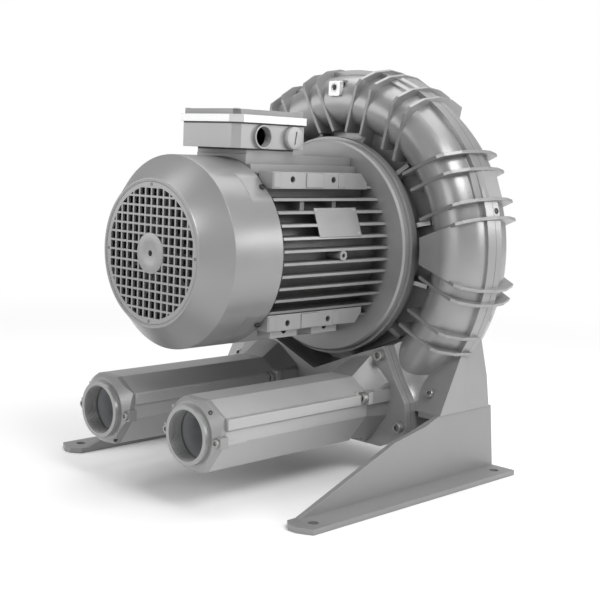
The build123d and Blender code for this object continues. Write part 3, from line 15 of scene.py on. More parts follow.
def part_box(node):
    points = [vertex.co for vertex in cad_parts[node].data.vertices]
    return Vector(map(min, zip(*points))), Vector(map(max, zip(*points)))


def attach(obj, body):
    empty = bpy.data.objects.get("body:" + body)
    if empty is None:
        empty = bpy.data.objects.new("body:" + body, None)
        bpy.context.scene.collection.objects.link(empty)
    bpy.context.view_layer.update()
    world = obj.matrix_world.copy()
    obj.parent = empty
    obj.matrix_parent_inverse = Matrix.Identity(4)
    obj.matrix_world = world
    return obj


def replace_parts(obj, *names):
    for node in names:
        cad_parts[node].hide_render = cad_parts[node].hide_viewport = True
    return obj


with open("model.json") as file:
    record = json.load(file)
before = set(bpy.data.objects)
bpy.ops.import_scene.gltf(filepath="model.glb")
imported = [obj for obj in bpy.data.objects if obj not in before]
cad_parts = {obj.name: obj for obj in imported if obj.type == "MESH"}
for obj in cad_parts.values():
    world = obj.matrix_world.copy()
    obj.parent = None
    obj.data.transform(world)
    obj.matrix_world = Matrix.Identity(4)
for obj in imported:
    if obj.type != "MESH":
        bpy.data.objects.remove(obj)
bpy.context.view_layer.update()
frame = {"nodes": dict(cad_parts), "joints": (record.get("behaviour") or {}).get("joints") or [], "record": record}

LOG = logging.getLogger("blower")
MM = 0.001
FRONT = (0.0, -1.0, 0.0)
NUMBER = "NodeSocketFloat"
VECTOR = "NodeSocketVector"
Mesh = bmesh.types.BMesh
Node = bpy.types.Node
Object = bpy.types.Object
Socket = bpy.types.NodeSocket
Point = tuple[float, float, float]
Ring = list[Point]
Outline = Sequence[Sequence[float]]
Profile = tuple[tuple[Callable[..., Ring], float, float], ...]


class Slot(Enum):
    """Names of the record's material slots."""

    ZINC = "zinc_steel"
    COWL = "cowl_sheet"
    CAP = "cap_cast"
    BOX = "box_cast"
    CASTING = "cast_casing"
    MOTOR = "motor_cast"
    SEAL = "seal_rubber"
    LINER = "liner_sheet"


class Body(Enum):
    """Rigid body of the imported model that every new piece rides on."""

    HOUSING = "housing"


class Drive(Enum):
    """Shapes of a screw head."""

    SOCKET = "socket"
    HEXAGON = "hexagon"
    SLOT = "slot"


# Node graph helpers


@dataclass
class Graph:
    """Short way to add and join the nodes of a tree."""

    tree: bpy.types.NodeTree

    @classmethod
    def cleared(cls, owner: bpy.types.ID) -> "Graph":
        """Returns the graph of a material or a world, emptied."""
        owner.use_nodes = True
        owner.node_tree.nodes.clear()
        return cls(owner.node_tree)

    def add(self, kind: str, **values: object) -> Node:
        """Adds a node.

        Args:
            kind: the node's type name, without the ShaderNode prefix.
            **values: properties of the node, or the defaults of its inputs by lower-case name.

        Returns:
            The new node.
        """
        node = self.tree.nodes.new(kind if kind.startswith("Node") else "ShaderNode" + kind)
        named = {socket.name.lower().replace(" ", "_"): socket for socket in reversed(node.inputs)}
        for name, value in values.items():
            if name in named and not hasattr(type(node), name):
                named[name].default_value = value
            else:
                setattr(node, name, value)
        return node

    def join(self, value: object, target: Socket) -> None:
        """Links an output to an input, or sets the input to a number or a colour."""
        if isinstance(value, Socket):
            self.tree.links.new(value, target)
        else:
            target.default_value = value

    def maths(self, operation: str, first: object, second: object = 0.0) -> Socket:
        """Adds a Math node on two sockets or numbers and returns its output."""
        node = self.add("Math", operation=operation)
        self.join(first, node.inputs[0])
        self.join(second, node.inputs[1])
        return node.outputs[0]

    def ramp(self, value: Socket, low: float, high: float) -> Socket:
        """Maps a value smoothly from the range between low and high to 0 to 1."""
        node = self.add("MapRange", interpolation_type="SMOOTHSTEP", from_min=low, from_max=high)
        self.join(value, node.inputs["Value"])
        return node.outputs["Result"]

    def blend(self, mask: object, first: object, second: object) -> Socket:
        """Mixes two colours, with the mask as the share of the second one."""
        node = self.add("Mix", data_type="RGBA")
        for value, index in ((mask, 0), (first, 6), (second, 7)):
            self.join(value, node.inputs[index])
        return node.outputs[2]

    def texture(self, kind: str, **values: object) -> Node:
        """Adds a texture node in the object's own coordinates."""
        node = self.add(kind, **values)
        self.join(self.add("TexCoord").outputs["Object"], node.inputs["Vector"])
        return node

    def coordinates(self) -> bpy.types.NodeOutputs:
        """Returns the object's own coordinates, one output for each axis."""
        parts = self.add("SeparateXYZ")
        self.join(self.add("TexCoord").outputs["Object"], parts.inputs[0])
        return parts.outputs

    def straight(self, *rays: str) -> Socket:
        """Returns 1 for rays of any of these kinds, by their names on the Light Path node."""
        seen = self.add("LightPath").outputs
        found = seen[rays[0]]
        for ray in rays[1:]:
            found = self.maths("MAXIMUM", found, seen[ray])
        return found

    def mix(self, mask: Socket, first: Node, second: Node) -> Node:
        """Mixes two shaders, with the mask as the share of the second one."""
        node = self.add("MixShader")
        self.join(mask, node.inputs[0])
        self.join(first.outputs[0], node.inputs[1])
        self.join(second.outputs[0], node.inputs[2])
        return node


@dataclass(frozen=True)
class EffectGroup:
    """A shader node group with named inputs and outputs, built once.

    Attributes:
        name: the group's name.
        numbers: its number inputs and their defaults.
        outputs: its outputs and their socket types.
        fill: builds its nodes from its graph, its input node's outputs and its output node's inputs.
    """

    name: str
    numbers: dict[str, float]
    outputs: dict[str, str]
    fill: Callable[[Graph, bpy.types.NodeOutputs, bpy.types.NodeInputs], None]

    def tree(self) -> bpy.types.NodeTree:
        """Returns the group's tree, which is made at the first call."""
        found = bpy.data.node_groups.get(self.name)
        if found is not None:
            return found
        tree = bpy.data.node_groups.new(self.name, "ShaderNodeTree")
        for label, value in self.numbers.items():
            socket = tree.interface.new_socket(label, in_out="INPUT", socket_type=NUMBER)
            socket.default_value = value
        for label, kind in self.outputs.items():
            tree.interface.new_socket(label, in_out="OUTPUT", socket_type=kind)
        graph = Graph(tree)
        inner, outer = graph.add("NodeGroupInput"), graph.add("NodeGroupOutput")
        self.fill(graph, inner.outputs, outer.inputs)
        return tree

    def place(self, graph: Graph, **values: float) -> Node:
        """Places the group in a material, with its inputs' values by lower-case name."""
        node = graph.add("Group", node_tree=self.tree())
        for socket in node.inputs:
            socket.default_value = values.get(socket.name.lower(), socket.default_value)
        return node


# Ranges and shares inside the effects

WORN_TURN = (0.02, 0.25)
PATCH_RANGE = (0.38, 0.62)
FINE_SHARE = 0.45
PIT_SHARE = 0.12
PIT_RANGE = (0.0, 0.35)
PIT_SCALE = 1.7
WAVE_SCALE = 22.0
CLOSED_RANGE = (0.15, 0.95)
CLOUD_SCALE = 35.0
CLOUD_SHARE = 0.6
DRIFT_RANGE = (0.3, 0.7)
FLECK_RANGE = (0.35, 0.65)


def fill_round_edges(graph: Graph, given: bpy.types.NodeOutputs, made: bpy.types.NodeInputs) -> None:
    """Rounds the shading of sharp edges and finds where paint wears thin on them, in patches."""
    rounded = graph.add("Bevel", samples=4)
    graph.join(given["Radius"], rounded.inputs["Radius"])
    turn = graph.add("VectorMath", operation="DOT_PRODUCT")
    graph.join(rounded.outputs["Normal"], turn.inputs[0])
    graph.join(graph.add("NewGeometry").outputs["Normal"], turn.inputs[1])
    edge = graph.ramp(graph.maths("SUBTRACT", 1.0, turn.outputs["Value"]), *WORN_TURN)
    patches = graph.texture("TexNoise", detail=3.0)
    graph.join(given["Patchiness"], patches.inputs["Scale"])
    graph.join(graph.maths("MULTIPLY", edge, graph.ramp(patches.outputs[0], *PATCH_RANGE)), made["Mask"])
    graph.join(rounded.outputs["Normal"], made["Normal"])


def fill_grain(graph: Graph, given: bpy.types.NodeOutputs, made: bpy.types.NodeInputs) -> None:
    """Makes the height of a cast surface under paint: fine grain, shallow pits and long waves."""
    fine = graph.texture("TexNoise", detail=4.0, roughness=0.6)
    graph.join(given["Scale"], fine.inputs["Scale"])
    pits = graph.texture("TexVoronoi")
    graph.join(graph.maths("MULTIPLY", given["Scale"], PIT_SCALE), pits.inputs["Scale"])
    waves = graph.texture("TexNoise", scale=WAVE_SCALE, detail=1.0)
    grained = graph.maths("MULTIPLY", fine.outputs[0], FINE_SHARE)
    pitted = graph.maths("MULTIPLY", graph.ramp(pits.outputs["Distance"], *PIT_RANGE), PIT_SHARE)
    wavy = graph.maths("MULTIPLY", waves.outputs[0], given["Waviness"])
    graph.join(graph.maths("ADD", graph.maths("ADD", grained, pitted), wavy), made["Height"])


def fill_corner_shade(graph: Graph, given: bpy.types.NodeOutputs, made: bpy.types.NodeInputs) -> None:
    """Finds where to paint shade: close to other surfaces, broken up by noise."""
    # Painted shade: ambient occlusion finds where other surfaces are close, so the colour is darkened there.
    near = graph.add("AmbientOcclusion", samples=6)
    graph.join(given["Reach"], near.inputs["Distance"])
    clouds = graph.texture("TexNoise", scale=CLOUD_SCALE, detail=4.0)
    closed = graph.ramp(graph.maths("SUBTRACT", 1.0, near.outputs["AO"]), *CLOSED_RANGE)
    cloudy = graph.maths("ADD", graph.maths("MULTIPLY", clouds.outputs[0], CLOUD_SHARE), CLOUD_SHARE)
    broken = graph.maths("MULTIPLY", closed, cloudy)
    graph.join(graph.maths("MULTIPLY", broken, given["Strength"]), made["Mask"])


def fill_drift(graph: Graph, given: bpy.types.NodeOutputs, made: bpy.types.NodeInputs) -> None:
    """Makes a slow change of tone over a surface, and fine flecks."""
    layers = (("Scale", 3.0, DRIFT_RANGE, "Drift"), ("Speckle", 2.0, FLECK_RANGE, "Fleck"))
    for label, detail, limits, output in layers:
        noise = graph.texture("TexNoise", detail=detail)
        graph.join(given[label], noise.inputs["Scale"])
        graph.join(graph.ramp(noise.outputs[0], *limits), made[output])


def fill_lines(graph: Graph, given: bpy.types.NodeOutputs, made: bpy.types.NodeInputs) -> None:
    """Makes the fine lines left by turning or extruding, as a noise stretched along Y."""
    joined = graph.add("CombineXYZ")
    for part, label, target in zip(graph.coordinates(), ("Across", "Along", "Across"), joined.inputs):
        graph.join(graph.maths("MULTIPLY", part, given[label]), target)
    lines = graph.add("TexNoise", scale=1.0, detail=3.0)
    graph.join(joined.outputs[0], lines.inputs["Vector"])
    graph.join(lines.outputs[0], made["Lines"])


EDGES = EffectGroup("rounded_edges", {"Radius": 0.0015, "Patchiness": 60.0},
                    {"Mask": NUMBER, "Normal": VECTOR}, fill_round_edges)
GRAIN = EffectGroup("cast_grain", {"Scale": 260.0, "Waviness": 0.5}, {"Height": NUMBER}, fill_grain)
# Painted shade in corners and hollows, from ambient occlusion.
CORNER_SHADE = EffectGroup("grime", {"Reach": 0.02, "Strength": 0.5}, {"Mask": NUMBER}, fill_corner_shade)
TONE = EffectGroup("tone_drift", {"Scale": 7.0, "Speckle": 900.0},
                   {"Drift": NUMBER, "Fleck": NUMBER}, fill_drift)
LINES = EffectGroup("draw_lines", {"Across": 900.0, "Along": 6.0}, {"Lines": NUMBER}, fill_lines)

# Shares in which a finish mixes the effects

FLECK_SHARE = 0.35
# Tone of the painted shade in corners: share of the surface's lightness, and its warmth.
SHADE_TINT_SHARE = 0.28
SHADE_TINT_WARMTH = 0.6
WEAR_SHARE = 0.55
LIGHTEST = 0.9
DRIFT_ROUGHNESS = 0.10
CORNER_SHADE_ROUGHNESS = 0.3
COAT_ROUGHNESS = 0.25
RED_LEAN = 0.04
BLUE_LEAN = 0.06


def grey(value: float, warmth: float = 0.0) -> tuple[float, float, float, float]:
    """A near-neutral grey by its linear lightness, which leans from blue (-1) to yellow (1)."""
    return (value * (1 + RED_LEAN * warmth), value, value * (1 - BLUE_LEAN * warmth), 1.0)


@dataclass(frozen=True)
class Finish:
    """A surface finish that is the same wherever it is used.

    Attributes:
        name: the material's name.
        lightness: linear lightness of the clean surface.
        warmth: lean of its colour.
        metal: share of bare metal in the look.
        rough: roughness of the clean surface.
        coat: weight of the clear coat.
        contrast: how far the tone drifts.
        edge_radius: shading radius of its edges, in metres.
        edge_light: lightness of worn edges, relative to the surface.
        grain_scale: scale of the cast grain.
        grain_depth: depth of the grain, in metres.
        waviness: share of long waves in the grain.
        shade_strength: strength of the painted shade that darkens corners.
        reach: how far from a corner the painted shade reaches, in metres.
        lined: whether the surface has drawn lines in place of grain.
        painted_above: height above which the surface is painted, in metres, or 0 for none.
        painted: linear lightness of that paint.
    """

    name: str
    lightness: float
    warmth: float = 0.0
    metal: float = 0.35
    rough: float = 0.42
    coat: float = 0.0
    contrast: float = 0.10
    edge_radius: float = 0.0012
    edge_light: float = 1.35
    grain_scale: float = 300.0
    grain_depth: float = 0.00018
    waviness: float = 0.4
    # Strength of the painted shade in corners.
    shade_strength: float = 0.55
    reach: float = 0.018
    lined: bool = False
    painted_above: float = 0.0
    painted: float = 0.30

    def material(self) -> bpy.types.Material:
        """Returns the finish's material, which is made at the first call."""
        found = bpy.data.materials.get(self.name)
        if found is not None:
            return found
        made = bpy.data.materials.new(self.name)
        graph = Graph.cleared(made)
        output = graph.add("OutputMaterial")
        shader = graph.add("BsdfPrincipled", metallic=self.metal, coat_weight=self.coat)
        shader.inputs["Coat Roughness"].default_value = COAT_ROUGHNESS
        graph.join(shader.outputs[0], output.inputs["Surface"])
        edges = EDGES.place(graph, radius=self.edge_radius)
        tone = TONE.place(graph)
        # Mask of the painted shade in corners and hollows.
        grime = CORNER_SHADE.place(graph, reach=self.reach, strength=self.shade_strength)
        self.paint(graph, shader, edges, tone, grime)
        self.roughen(graph, shader, tone, grime)
        self.emboss(graph, shader, edges)
        return made

    def paint(self, graph: Graph, shader: Node, edges: Node, tone: Node, grime: Node) -> None:
        """Builds the colour from the three groups: drift of tone, painted shade in corners and light worn edges.
        """
        low = grey(self.lightness * (1 - self.contrast), self.warmth)
        high = grey(self.lightness * (1 + self.contrast), self.warmth)
        drifted = graph.blend(tone.outputs["Drift"], low, high)
        if self.painted_above:
            above = graph.maths("GREATER_THAN", graph.coordinates()["Z"], self.painted_above)
            drifted = graph.blend(above, drifted, grey(self.painted))
            high = graph.blend(above, high, grey(self.painted * (1 + self.contrast)))
        flecked = graph.blend(graph.maths("MULTIPLY", tone.outputs["Fleck"], FLECK_SHARE), drifted, high)
        # Painted shade: the corner mask darkens the colour towards a dark warm tone.
        shade_tint = grey(self.lightness * SHADE_TINT_SHARE, SHADE_TINT_WARMTH)
        shade_tinted = graph.blend(grime.outputs["Mask"], flecked, shade_tint)
        bare = grey(min(self.lightness * self.edge_light, LIGHTEST), self.warmth)
        worn = graph.blend(graph.maths("MULTIPLY", edges.outputs["Mask"], WEAR_SHARE), shade_tinted, bare)
        graph.join(worn, shader.inputs["Base Color"])

    def roughen(self, graph: Graph, shader: Node, tone: Node, grime: Node) -> None:
        """Builds the roughness from the tone group and the painted-shade group: duller in corners."""
        varied = graph.maths("ADD", graph.maths("MULTIPLY", tone.outputs["Drift"], DRIFT_ROUGHNESS),
                             self.rough - DRIFT_ROUGHNESS / 2)
        dulled = graph.maths("MULTIPLY", grime.outputs["Mask"], CORNER_SHADE_ROUGHNESS)
        graph.join(graph.maths("ADD", varied, dulled), shader.inputs["Roughness"])

    def emboss(self, graph: Graph, shader: Node, edges: Node) -> None:
        """Builds the normal: the edge group's, with grain or drawn lines on top."""
        bump = graph.add("Bump", strength=1.0)
        bump.inputs["Distance"].default_value = self.grain_depth
        if self.lined:
            height = LINES.place(graph).outputs["Lines"]
        else:
            height = GRAIN.place(graph, scale=self.grain_scale, waviness=self.waviness).outputs["Height"]
        graph.join(height, bump.inputs["Height"])
        graph.join(edges.outputs["Normal"], bump.inputs["Normal"])
        graph.join(bump.outputs[0], shader.inputs["Normal"])


CASTING = Finish("painted_casting", 0.285, metal=0.45, rough=0.33, coat=0.2, contrast=0.09)
MOTOR_CASTING = Finish("painted_motor_casting", 0.29, metal=0.40, rough=0.42, coat=0.1, grain_scale=420.0,
                       grain_depth=0.00012, reach=0.024, shade_strength=0.7)
SHEET_PAINT = Finish("painted_sheet", 0.255, metal=0.40, rough=0.38, coat=0.2, contrast=0.05,
                     grain_scale=700.0, grain_depth=0.00003, waviness=0.15, edge_radius=0.0009, shade_strength=0.35)
BRIGHT_CASTING = Finish("bright_die_casting", 0.33, metal=0.45, rough=0.42, contrast=0.08, grain_scale=500.0,
                        grain_depth=0.00006, shade_strength=0.4, edge_light=1.25)
EXTRUSION = Finish("extruded_profile", 0.41, metal=0.38, rough=0.36, contrast=0.06, lined=True,
                   grain_depth=0.00004, shade_strength=0.35, edge_light=1.1)
ZINC_STEEL = Finish("zinc_plated_steel", 0.32, warmth=0.2, metal=0.7, rough=0.40, contrast=0.12,
                    grain_depth=0.00002, edge_radius=0.0004, reach=0.004, shade_strength=0.6)
DARK_STEEL = Finish("blackened_steel", 0.06, metal=0.7, rough=0.45, contrast=0.1, grain_depth=0.00002,
                    edge_radius=0.0003, reach=0.003, shade_strength=0.6)
GROUND_STEEL = Finish("ground_steel", 0.50, metal=1.0, rough=0.25, contrast=0.05, lined=True,
                      grain_depth=0.00001, edge_radius=0.0005, shade_strength=0.3)
TURNED_ALUMINIUM = Finish("turned_aluminium", 0.55, metal=1.0, rough=0.33, contrast=0.08, lined=True,
                          grain_depth=0.00003, edge_radius=0.0008, shade_strength=0.35)
LAMINATION = Finish("lamination_steel", 0.10, metal=0.7, rough=0.5, contrast=0.15, lined=True,
                    grain_depth=0.00008)
COPPER = Finish("winding_copper", 0.20, warmth=9.0, metal=0.6, rough=0.45, contrast=0.2, grain_depth=0.0002)
FAN_PLASTIC = Finish("fan_plastic", 0.10, metal=0.0, rough=0.55, contrast=0.06, grain_scale=600.0,
                     grain_depth=0.00004, edge_light=1.15)
PLUG_PLASTIC = Finish("plug_plastic", 0.40, metal=0.1, rough=0.45, contrast=0.05, grain_scale=600.0,
                      grain_depth=0.00003, edge_light=1.1, reach=0.005)
BOARD_PLASTIC = Finish("board_plastic", 0.03, warmth=1.0, metal=0.0, rough=0.5, contrast=0.1, edge_light=1.5)
SEAL_RUBBER = Finish("seal_rubber", 0.02, metal=0.0, rough=0.75, contrast=0.2, edge_light=1.6,
                     grain_depth=0.00005)
FOAM = Finish("open_cell_foam", 0.05, metal=0.0, rough=0.95, contrast=0.3, grain_scale=900.0,
              grain_depth=0.0008)
PLATE_METAL = Finish("rating_plate", 0.30, metal=0.7, rough=0.42, contrast=0.16, grain_scale=420.0,
                     grain_depth=0.0004, edge_radius=0.0003, reach=0.004, shade_strength=0.4)
MACHINED = Finish("machined_face", 0.60, metal=0.5, rough=0.34, contrast=0.06, lined=True,
                  grain_depth=0.00002, edge_radius=0.0006, reach=0.004, shade_strength=0.3)
# Painted light: the liner's near-white colour stands in for light inside the ports' bores.
LINER = Finish("liner_sheet", 0.92, metal=0.0, rough=0.5, contrast=0.02, grain_depth=0.00003, shade_strength=0.0)
LID_CASTING = Finish("part_painted_lid", 0.60, metal=0.45, rough=0.35, contrast=0.07, grain_scale=500.0,
                     grain_depth=0.00008, shade_strength=0.4, edge_light=1.25, painted_above=0.5525, painted=0.20)

NODE_FINISHES: dict[Finish, str] = {
    CASTING: "casing_front casing_rear manifold muffler_cap_right muffler_cap_left",
    MOTOR_CASTING: "motor_frame drive_end_shield fan_end_shield",
    SHEET_PAINT: "fan_cowl foot_right foot_left",
    BRIGHT_CASTING: "terminal_box",
    LID_CASTING: "terminal_lid",
    EXTRUSION: "muffler_tube_right muffler_tube_left",
    LINER: "muffler_liner_right muffler_liner_left",
    ZINC_STEEL: "casing_screws pedestal_screws flange_screws cowl_screws cap_screws tube_screws "
                "manifold_screws foot_bolts fan_circlip impeller_key impeller_washer impeller_nut "
                "bearing_spring terminal_studs",
    GROUND_STEEL: "shaft drive_end_bearing fan_end_bearing drive_end_inner_ring fan_end_inner_ring",
    TURNED_ALUMINIUM: "impeller",
    LAMINATION: "rotor_core stator_core",
    COPPER: "stator_windings",
    FAN_PLASTIC: "cooling_fan",
    PLUG_PLASTIC: "blanking_plug",
    BOARD_PLASTIC: "terminal_block",
    SEAL_RUBBER: "shaft_seal lid_gasket neck_gasket manifold_gasket",
    FOAM: "muffler_foam_right muffler_foam_left",
    PLATE_METAL: "nameplate",
}


# Meshes


def circle(radius: float, height: float, count: int = 24) -> Ring:
    """Points of a circle about Z."""
    turn = 2 * math.pi / count
    return [(radius * math.cos(i * turn), radius * math.sin(i * turn), height) for i in range(count)]


def hexagon(flats: float, height: float, count: int = 24) -> Ring:
    """Points along a hexagon about Z, by its width across the flats, as many as a circle's."""
    points = []
    for i in range(count):
        angle = 2 * math.pi * i / count
        within = (angle + math.pi / 6) % (math.pi / 3) - math.pi / 6
        radius = flats / 2 / math.cos(within)
        points.append((radius * math.cos(angle), radius * math.sin(angle), height))
    return points


def oblong(half_long: float, height: float, count: int = 24, ratio: float = 2 / 9) -> Ring:
    """Points of a slot with round ends along X, by half its length and its width to length."""
    half_wide = ratio * half_long
    shift = half_long - half_wide
    return [(x + math.copysign(shift, x), y, height) for x, y, _ in circle(half_wide, height, count)]


def rectangle(x0: float, y0: float, x1: float, y1: float) -> list[tuple[float, float]]:
    """Corners of a rectangle."""
    return [(x0, y0), (x1, y0), (x1, y1), (x0, y1)]


def stack(mesh: Mesh, rings: Sequence[Ring], place: Matrix) -> None:
    """Skins rings of equal length from one end to the other, with caps at both ends."""
    rows = [[mesh.verts.new(place @ Vector(p)) for p in ring] for ring in rings]
    for low, high in zip(rows, rows[1:]):
        for i in range(len(low)):
            j = (i + 1) % len(low)
            mesh.faces.new((low[i], low[j], high[j], high[i])).smooth = True
    mesh.faces.new(list(reversed(rows[0])))
    mesh.faces.new(rows[-1])


def button(mesh: Mesh, radius: float, profile: Profile, place: Matrix, count: int = 24) -> None:
    """Builds a small round piece.

    Args:
        mesh: the mesh that takes the piece.
        radius: its radius.
        profile: each ring's shape, its share of the radius and its level in millimetres.
        place: where the piece goes.
        count: number of points round it.
    """
    stack(mesh, [shape(share * radius, level * MM, count) for shape, share, level in profile], place)


def turned(mesh: Mesh, outline: Sequence[tuple[float, float]], place: Matrix, count: int = 128,
           limit: Callable[[float, float], float] | None = None) -> None:
    """Turns a closed outline about Z.

    Args:
        mesh: the mesh that takes the faces.
        outline: (radius, height) points in order.
        place: where the piece goes.
        count: number of points round it.
        limit: gives the largest radius at an angle and a height.
    """
    rows = []
    for radius, height in outline:
        row = []
        for i in range(count):
            angle = 2 * math.pi * i / count
            reach = min(radius, limit(angle, height)) if limit else radius
            spot = Vector((reach * math.cos(angle), reach * math.sin(angle), height))
            row.append(mesh.verts.new(place @ spot))
        rows.append(row)
    for low, high in zip(rows, rows[1:] + rows[:1]):
        for i in range(count):
            j = (i + 1) % count
            mesh.faces.new((low[i], low[j], high[j], high[i])).smooth = True


def sheet(mesh: Mesh, outline: Outline, holes: Sequence[Outline], thickness: float, place: Matrix) -> None:
    """Builds a flat sheet with holes, with its front at the place's origin.

    Args:
        mesh: the mesh that takes the faces.
        outline: the sheet's edge, of which x and y count.
        holes: the edges of its holes.
        thickness: its thickness.
        place: where the sheet goes.
    """
    loops = [outline, *holes]
    flat = [Vector(p[:2]) for loop in loops for p in loop]
    starts = [sum(len(loop) for loop in loops[:i]) for i in range(len(loops))]
    faces = [list(range(start, start + len(loop))) for start, loop in zip(starts, loops)]
    points, _, filled, _, _, origins = geometry.delaunay_2d_cdt(flat, [], faces, 1, 1e-7)
    levels = [[mesh.verts.new(place @ Vector((p.x, p.y, z))) for p in points] for z in (0, -thickness)]
    borders: dict[tuple[int, int], int] = {}
    for corners, origin in zip(filled, origins):
        if list(origin) != [0]:
            continue
        mesh.faces.new([levels[0][i] for i in corners])
        mesh.faces.new([levels[1][i] for i in reversed(corners)])
        for i, j in zip(corners, [*corners[1:], corners[0]]):
            borders[(i, j)] = borders.get((i, j), 0) + 1
    for i, j in borders:
        if (j, i) not in borders:
            mesh.faces.new((levels[0][j], levels[0][i], levels[1][i], levels[1][j]))
    bmesh.ops.delete(mesh, geom=[v for v in mesh.verts if not v.link_faces], context="VERTS")


def clipped(corners: Outline, radius: float, count: int = 96) -> list[tuple[float, float]]:
    """Clips a convex outline by a circle about the origin.

    Args:
        corners: the outline's (x, y) corners in order.
        radius: the circle's radius.
        count: number of straight cuts that stand for the circle.

    Returns:
        The clipped outline, which may be empty.
    """
    kept = list(corners)
    for i in range(count):
        angle = 2 * math.pi * i / count
        nx, ny = math.cos(angle), math.sin(angle)
        cut = []
        for (ax, ay), (bx, by) in zip(kept, kept[1:] + kept[:1]):
            a, b = ax * nx + ay * ny - radius, bx * nx + by * ny - radius
            if a <= 0:
                cut.append((ax, ay))
            if a * b < 0:
                share = a / (a - b)
                cut.append((ax + share * (bx - ax), ay + share * (by - ay)))
        kept = cut
    return kept


def area(corners: Outline) -> float:
    """Area of a flat outline."""
    pairs = zip(corners, [*corners[1:], *corners[:1]])
    return abs(sum(ax * by - bx * ay for (ax, ay), (bx, by) in pairs)) / 2


def finished(name: str, mesh: Mesh, finish: Finish, body: Body = Body.HOUSING,
             sharp: float = 35.0) -> Object:
    """Turns a mesh into a dressed piece that rides on a body.

    Args:
        name: the piece's name.
        mesh: the mesh, which is freed.
        finish: its finish.
        body: the body that it rides on.
        sharp: angle in degrees above which edges stay sharp.

    Returns:
        The new object.
    """
    bmesh.ops.recalc_face_normals(mesh, faces=mesh.faces)
    data = bpy.data.meshes.new(name)
    mesh.to_mesh(data)
    mesh.free()
    data.materials.append(finish.material())
    made = bpy.data.objects.new(name, data)
    bpy.context.scene.collection.objects.link(made)
    data.set_sharp_from_angle(angle=math.radians(sharp))
    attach(made, body.value)
    LOG.info("piece %s: %d faces on %s", name, len(data.polygons), body.value)
    return made


def facing(direction: Sequence[float], origin: Sequence[float]) -> Matrix:
    """Place at an origin whose Z points in a direction."""
    turn = Vector(direction).to_track_quat("Z", "Y").to_matrix().to_4x4()
    return Matrix.Translation(Vector(origin)) @ turn


def islands(node: str) -> list[list[Vector]]:
    """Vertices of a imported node, one list for each of its separate solids."""
    mesh = bmesh.new()
    mesh.from_mesh(frame["nodes"][node].data)
    bmesh.ops.remove_doubles(mesh, verts=mesh.verts, dist=1e-6)
    left = set(mesh.verts)
    found = []
    while left:
        start = left.pop()
        group, queue = [start], [start]
        while queue:
            for edge in queue.pop().link_edges:
                for other in edge.verts:
                    if other in left:
                        left.remove(other)
                        group.append(other)
                        queue.append(other)
        found.append([v.co.copy() for v in group])
    mesh.free()
    return found


# Profiles: shape, share of the radius, and level in millimetres

RIVET: Profile = ((circle, 1.0, -0.4), (circle, 1.0, 0.1), (circle, 0.75, 0.55), (circle, 0.3, 0.75))
RIM_SCREW: Profile = ((circle, 1.0, -1.0), (circle, 1.0, 0.15), (circle, 0.9, 0.4), (circle, 0.7, 0.4),
                      (hexagon, 1.3, 0.35), (hexagon, 1.3, -0.8))
LID_SCREW: Profile = ((circle, 1.0, -1.0), (circle, 1.0, 0.4), (circle, 0.85, 0.8), (circle, 0.45, 0.8),
                      (hexagon, 0.8, 0.7), (hexagon, 0.8, -0.6))
BAND_PLUG: Profile = ((circle, 1.0, -1.0), (circle, 1.0, 0.7), (circle, 0.9, 1.0), (circle, 0.66, 1.0),
                      (circle, 0.6, 0.1), (circle, 0.2, 0.3))
CAP_POCKET_SHADE: Profile = ((circle, 1.0, -2.0), (circle, 1.0, 0.5), (circle, 0.8, 0.9), (circle, 0.5, 0.9),
                     (circle, 0.4, -0.2))

# Screw heads: shape, share of the radius, and depth as a share of the height plus a share of the radius

HEADS = {
    Drive.SOCKET: ((circle, 1.0, 1.0, 0.0), (circle, 1.0, 0.0, 0.12), (circle, 0.88, 0.0, 0.0),
                   (circle, 0.6448, 0.0, 0.0), (hexagon, 1.04, 0.0, 0.036), (hexagon, 1.04, 0.55, 0.0)),
    Drive.HEXAGON: ((circle, 0.83136, 1.0, 0.0), (circle, 0.83136, 0.94, 0.0), (hexagon, 1.732, 0.92, 0.0),
                    (hexagon, 1.732, 0.12, 0.0), (circle, 0.81404, 0.0, 0.0)),
    Drive.SLOT: ((circle, 1.0, 1.0, 0.0), (circle, 1.0, 0.4, 0.0), (circle, 0.85, 0.1, 0.0),
                 (circle, 0.8, 0.0, 0.0), (oblong, 0.72, 0.0, 0.0), (oblong, 0.72, 0.5, 0.0)),
}
LEVEL = 1e-4
HEAD_SHARE = 0.9
THICK_SHANK = 0.7
USUAL_SHANK = 0.55
TIP_SHARE = 0.96
TIP_LENGTH = 0.12


